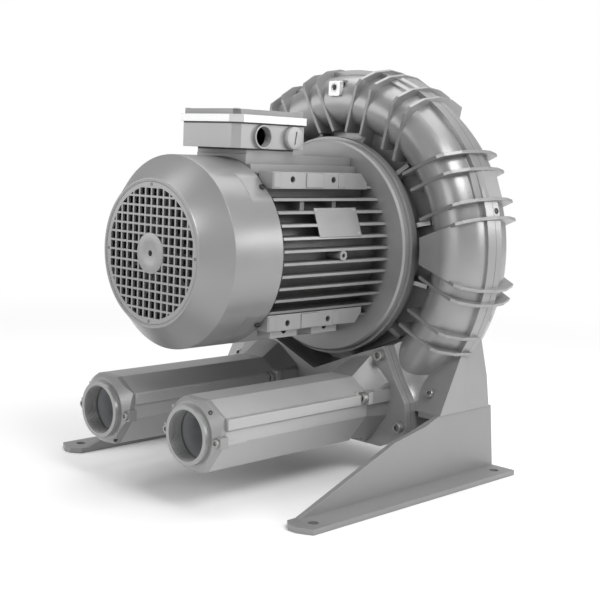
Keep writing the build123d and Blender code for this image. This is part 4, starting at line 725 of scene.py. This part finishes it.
@dataclass
class ScrewSet:
    """Detailed screws in place of a node's plain ones.

    Attributes:
        node: the node with one solid per screw.
        drive: shape of the heads.
        axis: the way the heads face, or None for away from the shaft.
        finish: finish of the screws.
        share: size of the head, as a share of the plain one's.
    """

    node: str
    drive: Drive
    axis: Point | None = FRONT
    finish: Finish = ZINC_STEEL
    share: float = 1.0

    def build(self) -> Object:
        """Builds every screw of the set as one piece."""
        mesh = bmesh.new()
        shaft = shaft_centre()
        for points in islands(self.node):
            centre = sum(points, Vector()) / len(points)
            way = Vector(self.axis or (centre.x, 0, centre.z - shaft.z)).normalized()
            along = [p.dot(way) for p in points]
            top, end = max(along), min(along)
            rim = [p for p, a in zip(points, along) if top - a < LEVEL]
            middle = sum(rim, Vector()) / len(rim)
            radius = max((p - middle).length for p in rim)
            off_axis = [(p - middle - way * (p - middle).dot(way)).length for p in points]
            wide = [a for r, a in zip(off_axis, along) if top - a > LEVEL and r > HEAD_SHARE * radius]
            under = max(wide, default=end)
            thin = [r for r, a in zip(off_axis, along) if under - a > LEVEL]
            core = min(max(thin, default=USUAL_SHANK * radius), THICK_SHANK * radius)
            self.screw(mesh, facing(way, middle), self.share * radius, top - under, core, top - end)
        made = finished(self.node + "_detailed", mesh, self.finish)
        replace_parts(made, self.node)
        return made

    def screw(self, mesh: Mesh, place: Matrix, radius: float, height: float, core: float,
              length: float) -> None:
        """Builds one screw with its top at the place's origin.

        Args:
            mesh: the mesh that takes the screw.
            place: the top of the head, with Z outwards.
            radius: radius of the head, over its corners for a hexagon.
            height: height of the head.
            core: radius of the shank.
            length: length from the top to the screw's end.
        """
        rings = [circle(TIP_SHARE * core, -length), circle(core, TIP_LENGTH * radius - length),
                 circle(core, -height)]
        for shape, share, deep, soft in HEADS[self.drive]:
            rings.append(shape(share * radius, -deep * height - soft * radius))
        stack(mesh, rings, place)


@dataclass
class Casing:
    """Ribbed ring casing with its parting seam.

    Attributes:
        seam_radius: radius of the line where the halves meet.
        seam_width: half width of the seam's bead.
        seam_proud: how far the bead stands out.
        plug_angle: angle of the rim's small plug above the level, in degrees.
        plug_behind: how far it lies behind the seam.
        plug_radius: its radius.
        eye_radius: distance of the lifting thread from the shaft.
        eye_ahead: distance of its face from the seam.
        eye_half: half width of the face.
        eye_reach: how far the face reaches below and above the thread.
        eye_hole: radius of the hole in it.
        eye_bead: the bead round the hole, as distances from the hole and the face.
        eye_soft: cut of the face's corners.
        eye_depth: depth of the piece.
        shaft: a point on the shaft's axis.
    """

    seam_radius: float = 288.0 * MM
    seam_width: float = 0.35 * MM
    seam_proud: float = 0.05 * MM
    plug_angle: float = 14.8
    plug_behind: float = 7.5 * MM
    plug_radius: float = 4.6 * MM
    eye_radius: float = 257.0 * MM
    eye_ahead: float = 65.5 * MM
    eye_half: float = 12.0 * MM
    eye_reach: tuple[float, float] = (13.5 * MM, 10.5 * MM)
    eye_hole: float = 4.7 * MM
    eye_bead: Outline = ((0.0, 0.0), (1.2 * MM, 0.4 * MM), (2.4 * MM, 0.0), (1.2 * MM, -0.5 * MM))
    eye_soft: float = 2.0 * MM
    eye_depth: float = 13.0 * MM
    shaft: Vector = field(default_factory=lambda: shaft_centre())

    def build(self) -> None:
        """Builds the screws, the seam, the plug and the lifting face."""
        ScrewSet("casing_screws", Drive.SOCKET, (0.0, 1.0, 0.0)).build()
        ScrewSet("pedestal_screws", Drive.SOCKET, (0.0, -1.0, 0.51)).build()
        ScrewSet("manifold_screws", Drive.SOCKET).build()
        self.seam()
        self.band_plug()
        self.lifting_face()

    def lifting_face(self) -> Object:
        """Builds the machined square face round the lifting thread."""
        half, (below, above), soft = self.eye_half, self.eye_reach, self.eye_soft
        corners = ((half - soft, -below), (half, -below + soft), (half, above - soft), (half - soft, above),
                   (soft - half, above), (-half, above - soft), (-half, -below + soft), (soft - half, -below))
        front = (0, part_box("casing_front")[1].y - self.eye_ahead, self.shaft.z + self.eye_radius)
        mesh = bmesh.new()
        place = facing(FRONT, front)
        sheet(mesh, corners, [circle(self.eye_hole, 0, 32)], self.eye_depth, place)
        turned(mesh, [(self.eye_hole + out, level) for out, level in self.eye_bead], place, 32)
        return finished("lifting_face", mesh, MACHINED)

    def band_plug(self) -> Object:
        """Builds the small round plug in the rim of the rear half."""
        angle = math.radians(self.plug_angle)
        out = Vector((math.cos(angle), 0, math.sin(angle)))
        level = Vector((0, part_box("casing_front")[1].y + self.plug_behind, self.shaft.z))
        mesh = bmesh.new()
        button(mesh, self.plug_radius, BAND_PLUG, facing(out, level + out * self.seam_radius))
        return finished("band_plug", mesh, DARK_STEEL)

    def seam(self) -> Object:
        """Builds the dark line of the joint between the halves."""
        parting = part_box("casing_front")[1].y
        mesh = bmesh.new()
        place = Matrix.Translation((0, parting, self.shaft.z)) @ Matrix.Rotation(math.pi / 2, 4, "X")
        half, inner = self.seam_width, self.seam_radius - 2 * self.seam_width
        outer = self.seam_radius + self.seam_proud
        section = ((inner, -half), (outer, -half), (outer, half), (inner, half))
        stack(mesh, [circle(r, z, 180) for r, z in section], place)
        return finished("casing_seam", mesh, SEAL_RUBBER)


@dataclass
class Motor:
    """Motor frame's small parts: rails, rating plate rivets and cowl screws.

    Attributes:
        rivet_radius: radius of a rivet.
        rivet_in: distance of a rivet from the plate's edges.
        rail_gap: distance of the rails from the cowl.
        rail_inner: distance of the rails' inner side from the shaft.
        rail_face: distance of their outer side from it.
        rail_levels: heights of the upper rails' lower and upper edges above the shaft.
        rail_drop: how much closer to the shaft the lower rails lie.
        rail_end: where the rails end along the shaft.
        rail_cut: length of the cut at that end, and the height that it leaves.
        pad_holes: places of the holes along the shaft.
        hole_rise: how far the holes lie from the rail's middle.
        hole_radius: their radius.
        pad_squares: the raised square between the holes, from and to.
        cowl_square: the raised square at the cowl, from and to, from the rail's start.
        rear_square: the raised square at the rear hole, from and to, from that hole.
        proud: how far the three squares stand out.
        margins: distance of the squares from the rail's two edges.
        square_depth: thickness of the squares.
    """

    rivet_radius: float = 1.9 * MM
    rivet_in: float = 4.2 * MM
    rail_gap: float = 1.0 * MM
    rail_inner: float = 84.0 * MM
    rail_face: float = 112.5 * MM
    rail_levels: tuple[float, float] = (97.5 * MM, 121.5 * MM)
    rail_drop: float = 12.0 * MM
    rail_end: float = 46.0 * MM
    rail_cut: tuple[float, float] = (14.0 * MM, 9.0 * MM)
    pad_holes: tuple[float, float] = (-117.0 * MM, -30.0 * MM)
    hole_rise: float = 1.5 * MM
    hole_radius: float = 4.6 * MM
    pad_squares: tuple[float, float] = (-89.0 * MM, -52.0 * MM)
    cowl_square: tuple[float, float] = (2.0 * MM, 16.0 * MM)
    rear_square: tuple[float, float] = (11.0 * MM, 26.0 * MM)
    proud: Point = (1.6 * MM, 1.0 * MM, 1.0 * MM)
    margins: tuple[float, float] = (2.0 * MM, 1.0 * MM)
    square_depth: float = 3.0 * MM

    def build(self) -> None:
        """Builds the rails, the rivets and the screws of the cowl."""
        for side in (1, -1):
            for level in (1, -1):
                self.rail(side, level)
        ScrewSet("cowl_screws", Drive.SLOT, None, DARK_STEEL, 0.75).build()
        self.rivets()

    def rail(self, side: int, level: int) -> Object:
        """Builds the cast rail that joins the corner pads of the frame.

        Args:
            side: 1 for the right, -1 for the left.
            level: 1 for above the shaft, -1 for below it.

        Returns:
            The rail.
        """
        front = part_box("fan_cowl")[1].y + self.rail_gap
        low, high = (z - (self.rail_drop if level < 0 else 0.0) for z in self.rail_levels)
        middle = (low + high) / 2 + self.hole_rise
        mesh = bmesh.new()
        turn = Matrix(((0, 0, side, 0), (1, 0, 0, 0), (0, level, 0, 0), (0, 0, 0, 1)))
        place = Matrix.Translation(shaft_centre()) @ turn
        end, (cut, left) = self.rail_end, self.rail_cut
        edge = [(front, low), (end, low), (end, low + left), (end - cut, high), (front, high)]
        holes = [[(y + u, middle + v) for u, v, _ in circle(self.hole_radius, 0, 20)] for y in self.pad_holes]
        face = place @ Matrix.Translation((0, 0, self.rail_face))
        sheet(mesh, edge, holes, self.rail_face - self.rail_inner, face)
        spans = (self.pad_squares, [front + y for y in self.cowl_square],
                 [self.pad_holes[1] + y for y in self.rear_square])
        for (y0, y1), proud in zip(spans, self.proud):
            square = rectangle(y0, low + self.margins[0], y1, high - self.margins[1])
            raised = place @ Matrix.Translation((0, 0, self.rail_face + proud))
            sheet(mesh, square, [], self.square_depth, raised)
        name = "frame_rail_" + ("right" if side > 0 else "left") + ("_upper" if level > 0 else "_lower")
        return finished(name, mesh, MOTOR_CASTING)

    def rivets(self) -> Object:
        """Builds a rivet near each corner of the rating plate."""
        points = islands("nameplate")[0]
        centre = sum(points, Vector()) / len(points)
        axis = shaft_centre()
        out = Vector((centre.x, 0, centre.z - axis.z)).normalized()
        up = Vector((0, 1, 0)).cross(out).normalized()
        reach = [(p - centre) for p in points]
        face = max(r.dot(out) for r in reach)
        half_long = max(r.y for r in reach) - self.rivet_in
        half_high = max(r.dot(up) for r in reach) - self.rivet_in
        mesh = bmesh.new()
        for side in (1, -1):
            for level in (1, -1):
                spot = centre + out * face + Vector((0, side * half_long, 0)) + up * (level * half_high)
                button(mesh, self.rivet_radius, RIVET, facing(out, spot), 12)
        return finished("nameplate_rivets", mesh, ZINC_STEEL)


@dataclass
class Cowl:
    """Fan cowl with a conical front, a punched grille, a hub disc and flat seats for its screws.

    Attributes:
        wall: thickness of the sheet.
        cone: length of the conical front.
        face: outer radius of the rim round the grille.
        rim_inner: inner radius of the rim's bead.
        step: how far the grille lies behind the bead.
        hole_reach: radius that the holes stay inside.
        pitch: distance between holes.
        bar: width of the bars between holes.
        depth: thickness of the grille.
        hub: radius of the hub disc.
        hub_hole: radius of the hole in its middle.
        screw_circle: radius of the circle of the rim's screws.
        seat_start: where the seats of the cowl's screws start, behind the front.
        seat_depth: depth of the seats.
        groove: width of the groove at a seat's start, and its further depth.
        crease: half width of the steps at a seat's ends.
        soft: rounding of the edges in front.
        ledge: width of the ledge behind the bead.
        lap: how far the grille lies under the bead.
        least_hole: smallest share of a hole that is still punched.
        screw_radius: radius of the rim's screws.
    """

    wall: float = 2.3 * MM
    cone: float = 37.0 * MM
    face: float = 107.3 * MM
    rim_inner: float = 103.4 * MM
    step: float = 0.9 * MM
    hole_reach: float = 94.8 * MM
    pitch: float = 13.4 * MM
    bar: float = 3.1 * MM
    depth: float = 4.0 * MM
    hub: float = 29.4 * MM
    hub_hole: float = 4.4 * MM
    screw_circle: float = 97.6 * MM
    seat_start: float = 87.2 * MM
    seat_depth: float = 1.5 * MM
    groove: tuple[float, float] = (2.0 * MM, 0.6 * MM)
    crease: float = 0.3 * MM
    soft: float = 0.8 * MM
    ledge: float = 2.0 * MM
    lap: float = 1.5 * MM
    least_hole: float = 0.08
    screw_radius: float = 2.2 * MM

    def build(self) -> None:
        """Builds the cowl and the screws of its rim."""
        low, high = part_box("fan_cowl")
        axis = shaft_centre()
        self.radius = (high.x - low.x) / 2
        self.length = high.y - low.y
        self.place = facing(FRONT, (axis.x, low.y, axis.z))
        mesh = bmesh.new()
        self.shell(mesh)
        self.grille(mesh)
        self.hub_disc(mesh)
        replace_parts(finished("fan_cowl_detailed", mesh, SHEET_PAINT, sharp=28.0), "fan_cowl")
        self.rim_screws()

    def limit(self, angle: float, height: float) -> float:
        """Largest radius at an angle: flat at the four screw seats."""
        if height > -self.seat_start:
            return self.radius
        within = (angle % (math.pi / 2)) - math.pi / 4
        wide, deep = self.groove
        further = deep if height > -self.seat_start - wide else 0.0
        return (self.radius - self.seat_depth - further) / math.cos(within)

    def shell(self, mesh: Mesh) -> None:
        """Builds the turned shell from the rear edge to the rim."""
        r, f, inner, step, soft = self.radius, self.face, self.rim_inner, self.step, self.soft
        start, end, crease = -self.seat_start, -self.seat_start - self.groove[0], self.crease
        outline = [(r - self.wall, -self.length), (r, -self.length), (r, end - crease), (r, end + crease),
                   (r, start - crease), (r, start + crease), (r, -self.cone - 2 * soft),
                   (r - 0.3 * soft, -self.cone), (r - 1.4 * soft, -self.cone + 1.2 * soft),
                   (f + 0.4 * soft, -2.4 * soft), (f, -1.2 * soft), (f - 0.3 * soft, -0.4 * soft),
                   (f - soft, 0), (inner + 0.8 * soft, 0),
                   (inner + 0.2 * soft, -0.5 * step), (inner, -step), (inner - self.ledge, -step),
                   (inner - self.ledge, -step - self.wall), (f - self.wall, -step - 1.6 * self.wall),
                   (r - self.wall, -self.cone - soft)]
        turned(mesh, outline, self.place, 180, self.limit)

    def grille(self, mesh: Mesh) -> None:
        """Builds the punched sheet, whose outer holes are cut off by a circle."""
        half = (self.pitch - self.bar) / 2
        count = int(self.hole_reach / self.pitch) + 1
        steps = [(i + 0.5) * self.pitch for i in range(-count, count)]
        holes = []
        for x in steps:
            for y in steps:
                square = rectangle(x - half, y - half, x + half, y + half)
                hole = clipped(square, self.hole_reach)
                covered = max(math.hypot(*corner) for corner in square) < self.hub
                if hole and area(hole) > self.least_hole * area(square) and not covered:
                    holes.append(hole)
        holes.append(circle(self.hub_hole, 0, 16))
        place = self.place @ Matrix.Translation((0, 0, -self.step))
        sheet(mesh, circle(self.rim_inner - self.lap, 0, 128), holes, self.depth, place)

    def hub_disc(self, mesh: Mesh) -> None:
        """Builds the disc over the middle of the grille, dished round its hole."""
        r, hole, top, edge = self.hub, self.hub_hole, 0.95 * self.step, self.soft / 2
        outline = [(r, -self.depth), (r, 0.3 * top), (r - edge, 0.75 * top), (r - 3 * edge, top),
                   (3.4 * hole, top), (3.0 * hole, 0.55 * top), (1.5 * hole, 0.2 * top), (hole, 0.0),
                   (hole, -self.depth)]
        turned(mesh, outline, self.place @ Matrix.Translation((0, 0, -self.step)), 72)

    def rim_screws(self) -> Object:
        """Builds the four small screws between grille and rim."""
        mesh = bmesh.new()
        for angle in (0.0, 90.0, 180.0, 270.0):
            turn = math.radians(angle)
            spot = (self.screw_circle * math.cos(turn), self.screw_circle * math.sin(turn), -self.step)
            button(mesh, self.screw_radius, RIM_SCREW, self.place @ Matrix.Translation(spot))
        return finished("cowl_rim_screws", mesh, DARK_STEEL)


@dataclass
class Silencers:
    """Fasteners, liners, small dark cups that paint the shade of pockets in the caps, and threads of their ports.

    Attributes:
        pitch: pitch of the port threads.
        crest: how far their crests stand into the port.
        liner_wall: thickness of a liner.
        liner_lip: rounding of its lip.
        liner_step: length of the sections that it is built from.
        mark_angles: angles of the right and the left cap's dark cup about the cap's middle, in degrees.
        mark_behind: how far the cups lie behind a cap's front.
        mark_radius: their radius.
    """

    pitch: float = 2.31 * MM
    crest: float = 0.7 * MM
    liner_wall: float = 2.0 * MM
    liner_lip: float = 0.8 * MM
    liner_step: float = 24.0 * MM
    mark_angles: tuple[float, float] = (45.9, -58.9)
    mark_behind: float = 13.0 * MM
    mark_radius: float = 3.2 * MM

    def build(self) -> None:
        """Builds the liners, the dark cups for the pockets' painted shade, the screws and the port threads."""
        for node in ("muffler_liner_right", "muffler_liner_left"):
            self.liner(node)
        for side, angle in zip(("right", "left"), self.mark_angles):
            self.mark(side, angle)
        for node in ("cap_screws", "tube_screws"):
            ScrewSet(node, Drive.SOCKET).build()
        for mount in frame["record"]["mounts"]:
            if mount["name"].startswith("port_"):
                thread(mount, self.pitch, self.crest, CASTING)

    def mark(self, side: str, angle: float) -> Object:
        """Builds a small dark cup in a cap, as painted shade of a pocket, where a ray towards its middle meets it.

        Args:
            side: the silencer's side.
            angle: angle about the cap's middle, from the level to the right upwards, in degrees.

        Returns:
            The cup.
        """
        cap = frame["nodes"]["muffler_cap_" + side]
        low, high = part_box(cap.name)
        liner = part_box("muffler_liner_" + side)
        front = low.y + self.mark_behind
        middle = Vector(((liner[0].x + liner[1].x) / 2, front, (liner[0].z + liner[1].z) / 2))
        out = Vector((math.cos(math.radians(angle)), 0, math.sin(math.radians(angle))))
        found, spot, normal, _ = cap.ray_cast(middle + out * (high.x - low.x), -out)
        if not found:
            spot, normal = middle + out * (high.z - low.z) / 2, out
        mesh = bmesh.new()
        # Painted shade: the near-black finish stands in for the shade inside a small pocket of the cap.
        button(mesh, self.mark_radius, CAP_POCKET_SHADE, facing(normal, spot))
        return finished("cap_plug_" + side, mesh, DARK_STEEL)

    def liner(self, node: str) -> Object:
        """Builds an inner tube with a rounded front lip in place of a node."""
        low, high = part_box(node)
        radius = (high.z - low.z) / 2
        inner, length, lip = radius - self.liner_wall, high.y - low.y, self.liner_lip
        count = int(length / self.liner_step)
        steps = [length * (i + 1) / count for i in range(count)]
        outline = [(inner + lip, 0.0), (inner + 0.3 * lip, -0.3 * lip), (inner, -lip)]
        outline += [(inner, -y) for y in steps] + [(radius, -y) for y in reversed(steps)]
        outline += [(radius, -lip), (radius - 0.5 * lip, 0.0)]
        mesh = bmesh.new()
        front = ((low.x + high.x) / 2, low.y, (low.z + high.z) / 2)
        turned(mesh, outline, facing(FRONT, front), 96)
        made = finished(node + "_detailed", mesh, LINER)
        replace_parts(made, node)
        return made


@dataclass
class TerminalBox:
    """Screws of the lid, plug and thread of the cable entries.

    Attributes:
        pitch: pitch of the entry's thread.
        crest: how far its crests stand into the entry.
        screw_in: distance of the lid's screws from its edges.
        screw_radius: radius of their heads.
        plug_head: height of the plug's head.
        plug_neck: radius of its shank, as a share of the head's.
        plug_soft: chamfer of the head.
        slot_half: half length of its slot.
        slot_ratio: width of the slot to its length.
        slot_depth: depth of the slot.
        slot_tilt: turn of the slot, in degrees.
    """

    pitch: float = 1.5 * MM
    crest: float = 0.5 * MM
    screw_in: float = 11.0 * MM
    screw_radius: float = 4.0 * MM
    plug_head: float = 6.0 * MM
    plug_neck: float = 0.76
    plug_soft: float = 2.4 * MM
    slot_half: float = 10.0 * MM
    slot_ratio: float = 0.15
    slot_depth: float = 2.4 * MM
    slot_tilt: float = 80.0

    def build(self) -> None:
        """Builds the entry's thread, the lid's screws and the plug."""
        for mount in frame["record"]["mounts"]:
            if mount["name"] == "cable_entry":
                thread(mount, self.pitch, self.crest, BRIGHT_CASTING)
        self.lid_screws()
        self.plug()

    def plug(self) -> Object:
        """Builds the blanking plug with a chamfered head and a short slot."""
        low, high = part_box("blanking_plug")
        centre = Vector((high.x, (low.y + high.y) / 2, (low.z + high.z) / 2))
        radius = (high.z - low.z) / 2
        length = high.x - low.x
        soft, neck = self.plug_soft, self.plug_neck * radius
        mesh = bmesh.new()
        turn = Matrix.Rotation(math.radians(self.slot_tilt), 4, "Z")
        section = ((neck, -length), (neck, -self.plug_head), (radius, -self.plug_head), (radius, -soft),
                   (radius - 0.3 * soft, -0.3 * soft), (radius - soft, 0))
        rings = [circle(r, z, 48) for r, z in section]
        rings += [oblong(self.slot_half, z, 48, self.slot_ratio) for z in (0, -self.slot_depth)]
        stack(mesh, rings, facing((1, 0, 0), centre) @ turn)
        made = finished("blanking_plug_detailed", mesh, PLUG_PLASTIC)
        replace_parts(made, "blanking_plug")
        return made

    def lid_screws(self) -> Object:
        """Builds a sunk screw in each corner of the lid."""
        low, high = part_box("terminal_lid")
        mesh = bmesh.new()
        for x in (low.x + self.screw_in, high.x - self.screw_in):
            for y in (low.y + self.screw_in, high.y - self.screw_in):
                button(mesh, self.screw_radius, LID_SCREW, Matrix.Translation((x, y, high.z)))
        return finished("lid_screws", mesh, ZINC_STEEL)


@dataclass
class Feet:
    """Bolts between the feet and the pedestals."""

    def build(self) -> None:
        """Builds the bolts."""
        ScrewSet("foot_bolts", Drive.HEXAGON, (0.0, 0.0, -1.0)).build()


# Form of the threads

THREADED = 0.8
THREAD_START = 1.5 * MM
THREAD_BITE = 0.05 * MM
FLANK = 0.45
AROUND = 48


def thread(mount: dict, pitch: float, crest: float, finish: Finish) -> Object:
    """Builds the crests of a thread inside a round mount.

    Args:
        mount: the mount's entry in the record.
        pitch: distance between turns.
        crest: how far the crests stand into the bore.
        finish: the finish of the wall.

    Returns:
        The thread's piece.
    """
    radius = mount["dims"]["r_mm"] * MM
    length = THREADED * mount["dims"]["length_mm"] * MM
    place = facing(mount["axis"], mount["pos_m"])
    steps = int(AROUND * length / pitch)
    outer = radius + THREAD_BITE
    section = ((outer, -FLANK * pitch), (radius - crest, 0.0), (outer, FLANK * pitch))
    mesh = bmesh.new()
    rows = []
    for i in range(steps + 1):
        angle = 2 * math.pi * i / AROUND
        height = -THREAD_START - length * i / steps
        rows.append([mesh.verts.new(place @ Vector((r * math.cos(angle), r * math.sin(angle), height + z)))
                     for r, z in section])
    for low, high in zip(rows, rows[1:]):
        for j in range(3):
            mesh.faces.new((low[j], low[(j + 1) % 3], high[(j + 1) % 3], high[j]))
    mesh.faces.new(rows[0])
    mesh.faces.new(list(reversed(rows[-1])))
    return finished(mount["name"] + "_thread", mesh, finish, sharp=50.0)


def shaft_centre() -> Vector:
    """A point on the shaft's axis, from the rotor's joint."""
    return Vector(frame["joints"][0]["pos_m"])


def dress_nodes() -> None:
    """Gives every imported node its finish, with smooth shading over its curved faces."""
    for finish, names in NODE_FINISHES.items():
        for name in names.split():
            node = frame["nodes"][name]
            node.data.materials.clear()
            node.data.materials.append(finish.material())
            node.data.shade_smooth()
            LOG.info("node %s: %s", name, finish.name)


@dataclass
class Softbox:
    """A large area lamp that faces a point of the object.

    Attributes:
        name: the lamp's name.
        place: its position, in metres.
        size: its sides, in metres.
        power: its power, in watts.
    """

    name: str
    place: Point
    size: tuple[float, float]
    power: float

    def build(self, target: Vector) -> None:
        """Adds the lamp, which faces the target."""
        data = bpy.data.lights.new(self.name, "AREA")
        data.shape = "RECTANGLE"
        data.size, data.size_y = self.size
        data.energy = self.power
        lamp = bpy.data.objects.new(self.name, data)
        lamp.location = self.place
        lamp.rotation_mode = "QUATERNION"
        lamp.rotation_quaternion = (Vector(self.place) - target).to_track_quat("Z", "Y")
        bpy.context.scene.collection.objects.link(lamp)


LAMPS = (Softbox("overhead", (-0.3, 0.6, 2.6), (2.4, 2.4), 40.0),
         Softbox("right_rear", (1.75, 1.45, 0.92), (1.5, 0.5), 14.0),
         Softbox("right_high", (1.95, -0.35, 2.3), (1.2, 1.2), 42.0),
         Softbox("front", (0.9, -3.0, 1.2), (1.6, 1.2), 16.0),
         Softbox("left_front", (-1.9, -2.0, 1.0), (1.6, 1.6), 19.0))


@dataclass
class Studio:
    """Pale floor, white surroundings and soft lamps.

    Attributes:
        target: the point that the lamps face.
        floor_half: half the floor's side.
        floor_level: height of the floor.
        floor_white: lightness of its paper.
        floor_rough: roughness of its paper.
        fibre_tone: lightness of the paper's darker fibres, as a share.
        fade: distances between which the floor fades into the surroundings.
        air_light: strength of the light of the surroundings.
    """

    target: Vector = field(default_factory=lambda: Vector((0.0, 0.0, 0.3)))
    floor_half: float = 6.0
    floor_level: float = -0.2 * MM
    floor_white: float = 0.90
    floor_rough: float = 0.7
    fibre_tone: float = 0.985
    fade: tuple[float, float] = (0.75, 2.2)
    air_light: float = 0.48

    def build(self) -> None:
        """Builds the floor, the surroundings and the lamps."""
        self.floor()
        self.air()
        for lamp in LAMPS:
            lamp.build(self.target)

    def floor(self) -> None:
        """Builds the floor, which looks nearly white from afar and keeps the object's shadow."""
        half = self.floor_half
        mesh = bmesh.new()
        corners = rectangle(-half, -half, half, half)
        mesh.faces.new([mesh.verts.new((x, y, self.floor_level)) for x, y in corners])
        data = bpy.data.meshes.new("floor")
        mesh.to_mesh(data)
        mesh.free()
        data.materials.append(self.floor_finish())
        made = bpy.data.objects.new("floor", data)
        bpy.context.scene.collection.objects.link(made)

    def floor_finish(self) -> bpy.types.Material:
        """Returns the floor's material: white paper that fades into the surroundings."""
        made = bpy.data.materials.new("floor_paper")
        graph = Graph.cleared(made)
        output = graph.add("OutputMaterial")
        paper = graph.add("BsdfPrincipled", roughness=self.floor_rough)
        fibre = graph.texture("TexNoise", scale=3.0, detail=4.0)
        dark, white = grey(self.floor_white * self.fibre_tone), grey(self.floor_white)
        graph.join(graph.blend(fibre.outputs[0], dark, white), paper.inputs["Base Color"])
        distance = graph.texture("VectorMath", operation="LENGTH")
        glow = graph.add("Emission", color=grey(1.0), strength=1.0)
        faded = graph.mix(graph.ramp(distance.outputs["Value"], *self.fade), paper, glow)
        seen = graph.straight("Is Camera Ray", "Is Glossy Ray", "Is Transmission Ray")
        final = graph.mix(seen, paper, faded)
        graph.join(final.outputs[0], output.inputs["Surface"])
        return made

    def air(self) -> None:
        """Lights the surroundings evenly and shows them white to the camera."""
        world = bpy.data.worlds.new("surroundings")
        bpy.context.scene.world = world
        graph = Graph.cleared(world)
        output = graph.add("OutputWorld")
        light = graph.add("Background", color=grey(1.0), strength=self.air_light)
        white = graph.add("Background", color=grey(1.0), strength=1.0)
        mixed = graph.mix(graph.straight("Is Camera Ray", "Is Transmission Ray"), light, white)
        graph.join(mixed.outputs[0], output.inputs["Surface"])


@dataclass
class Viewpoint:
    """Camera at the photograph's viewing angle.

    Attributes:
        place: its position, in metres.
        yaw: its turn from +Y towards -X, in degrees.
        pitch: how far it looks down, in degrees.
        roll: its tilt about the line of sight, in degrees.
        focal: focal length in pixels of the frame.
        frame_side: side of the square frame, in pixels.
        sensor: sensor width, in millimetres.
    """

    place: Point = (1.2896, -1.3132, 0.5004)
    yaw: float = 43.96
    pitch: float = 7.25
    roll: float = 2.25
    focal: float = 1155.17
    frame_side: float = 600.0
    sensor: float = 36.0

    def build(self) -> None:
        """Adds the camera and makes it the scene's."""
        a, e, r = (math.radians(v) for v in (self.yaw, self.pitch, self.roll))
        forward = Vector((-math.sin(a) * math.cos(e), math.cos(a) * math.cos(e), -math.sin(e)))
        level = Vector((math.cos(a), math.sin(a), 0))
        upright = level.cross(forward)
        right = level * math.cos(r) + upright * math.sin(r)
        up = upright * math.cos(r) - level * math.sin(r)
        data = bpy.data.cameras.new("viewpoint")
        data.sensor_width = self.sensor
        data.lens = self.focal / self.frame_side * self.sensor
        camera = bpy.data.objects.new("viewpoint", data)
        turn = Matrix((right, up, -forward)).transposed().to_4x4()
        camera.matrix_world = Matrix.Translation(self.place) @ turn
        bpy.context.scene.collection.objects.link(camera)
        bpy.context.scene.camera = camera


def main() -> None:
    """Builds the camera, the studio and every piece in order."""
    logging.basicConfig(level=logging.INFO, format="%(name)s: %(message)s")
    bpy.context.scene.view_settings.view_transform = "Standard"
    Viewpoint().build()
    Studio().build()
    dress_nodes()
    for assembly in (Casing(), Motor(), Cowl(), Silencers(), TerminalBox(), Feet()):
        LOG.info("building %s", type(assembly).__name__)
        assembly.build()


if __name__ == "__main__":
    main()
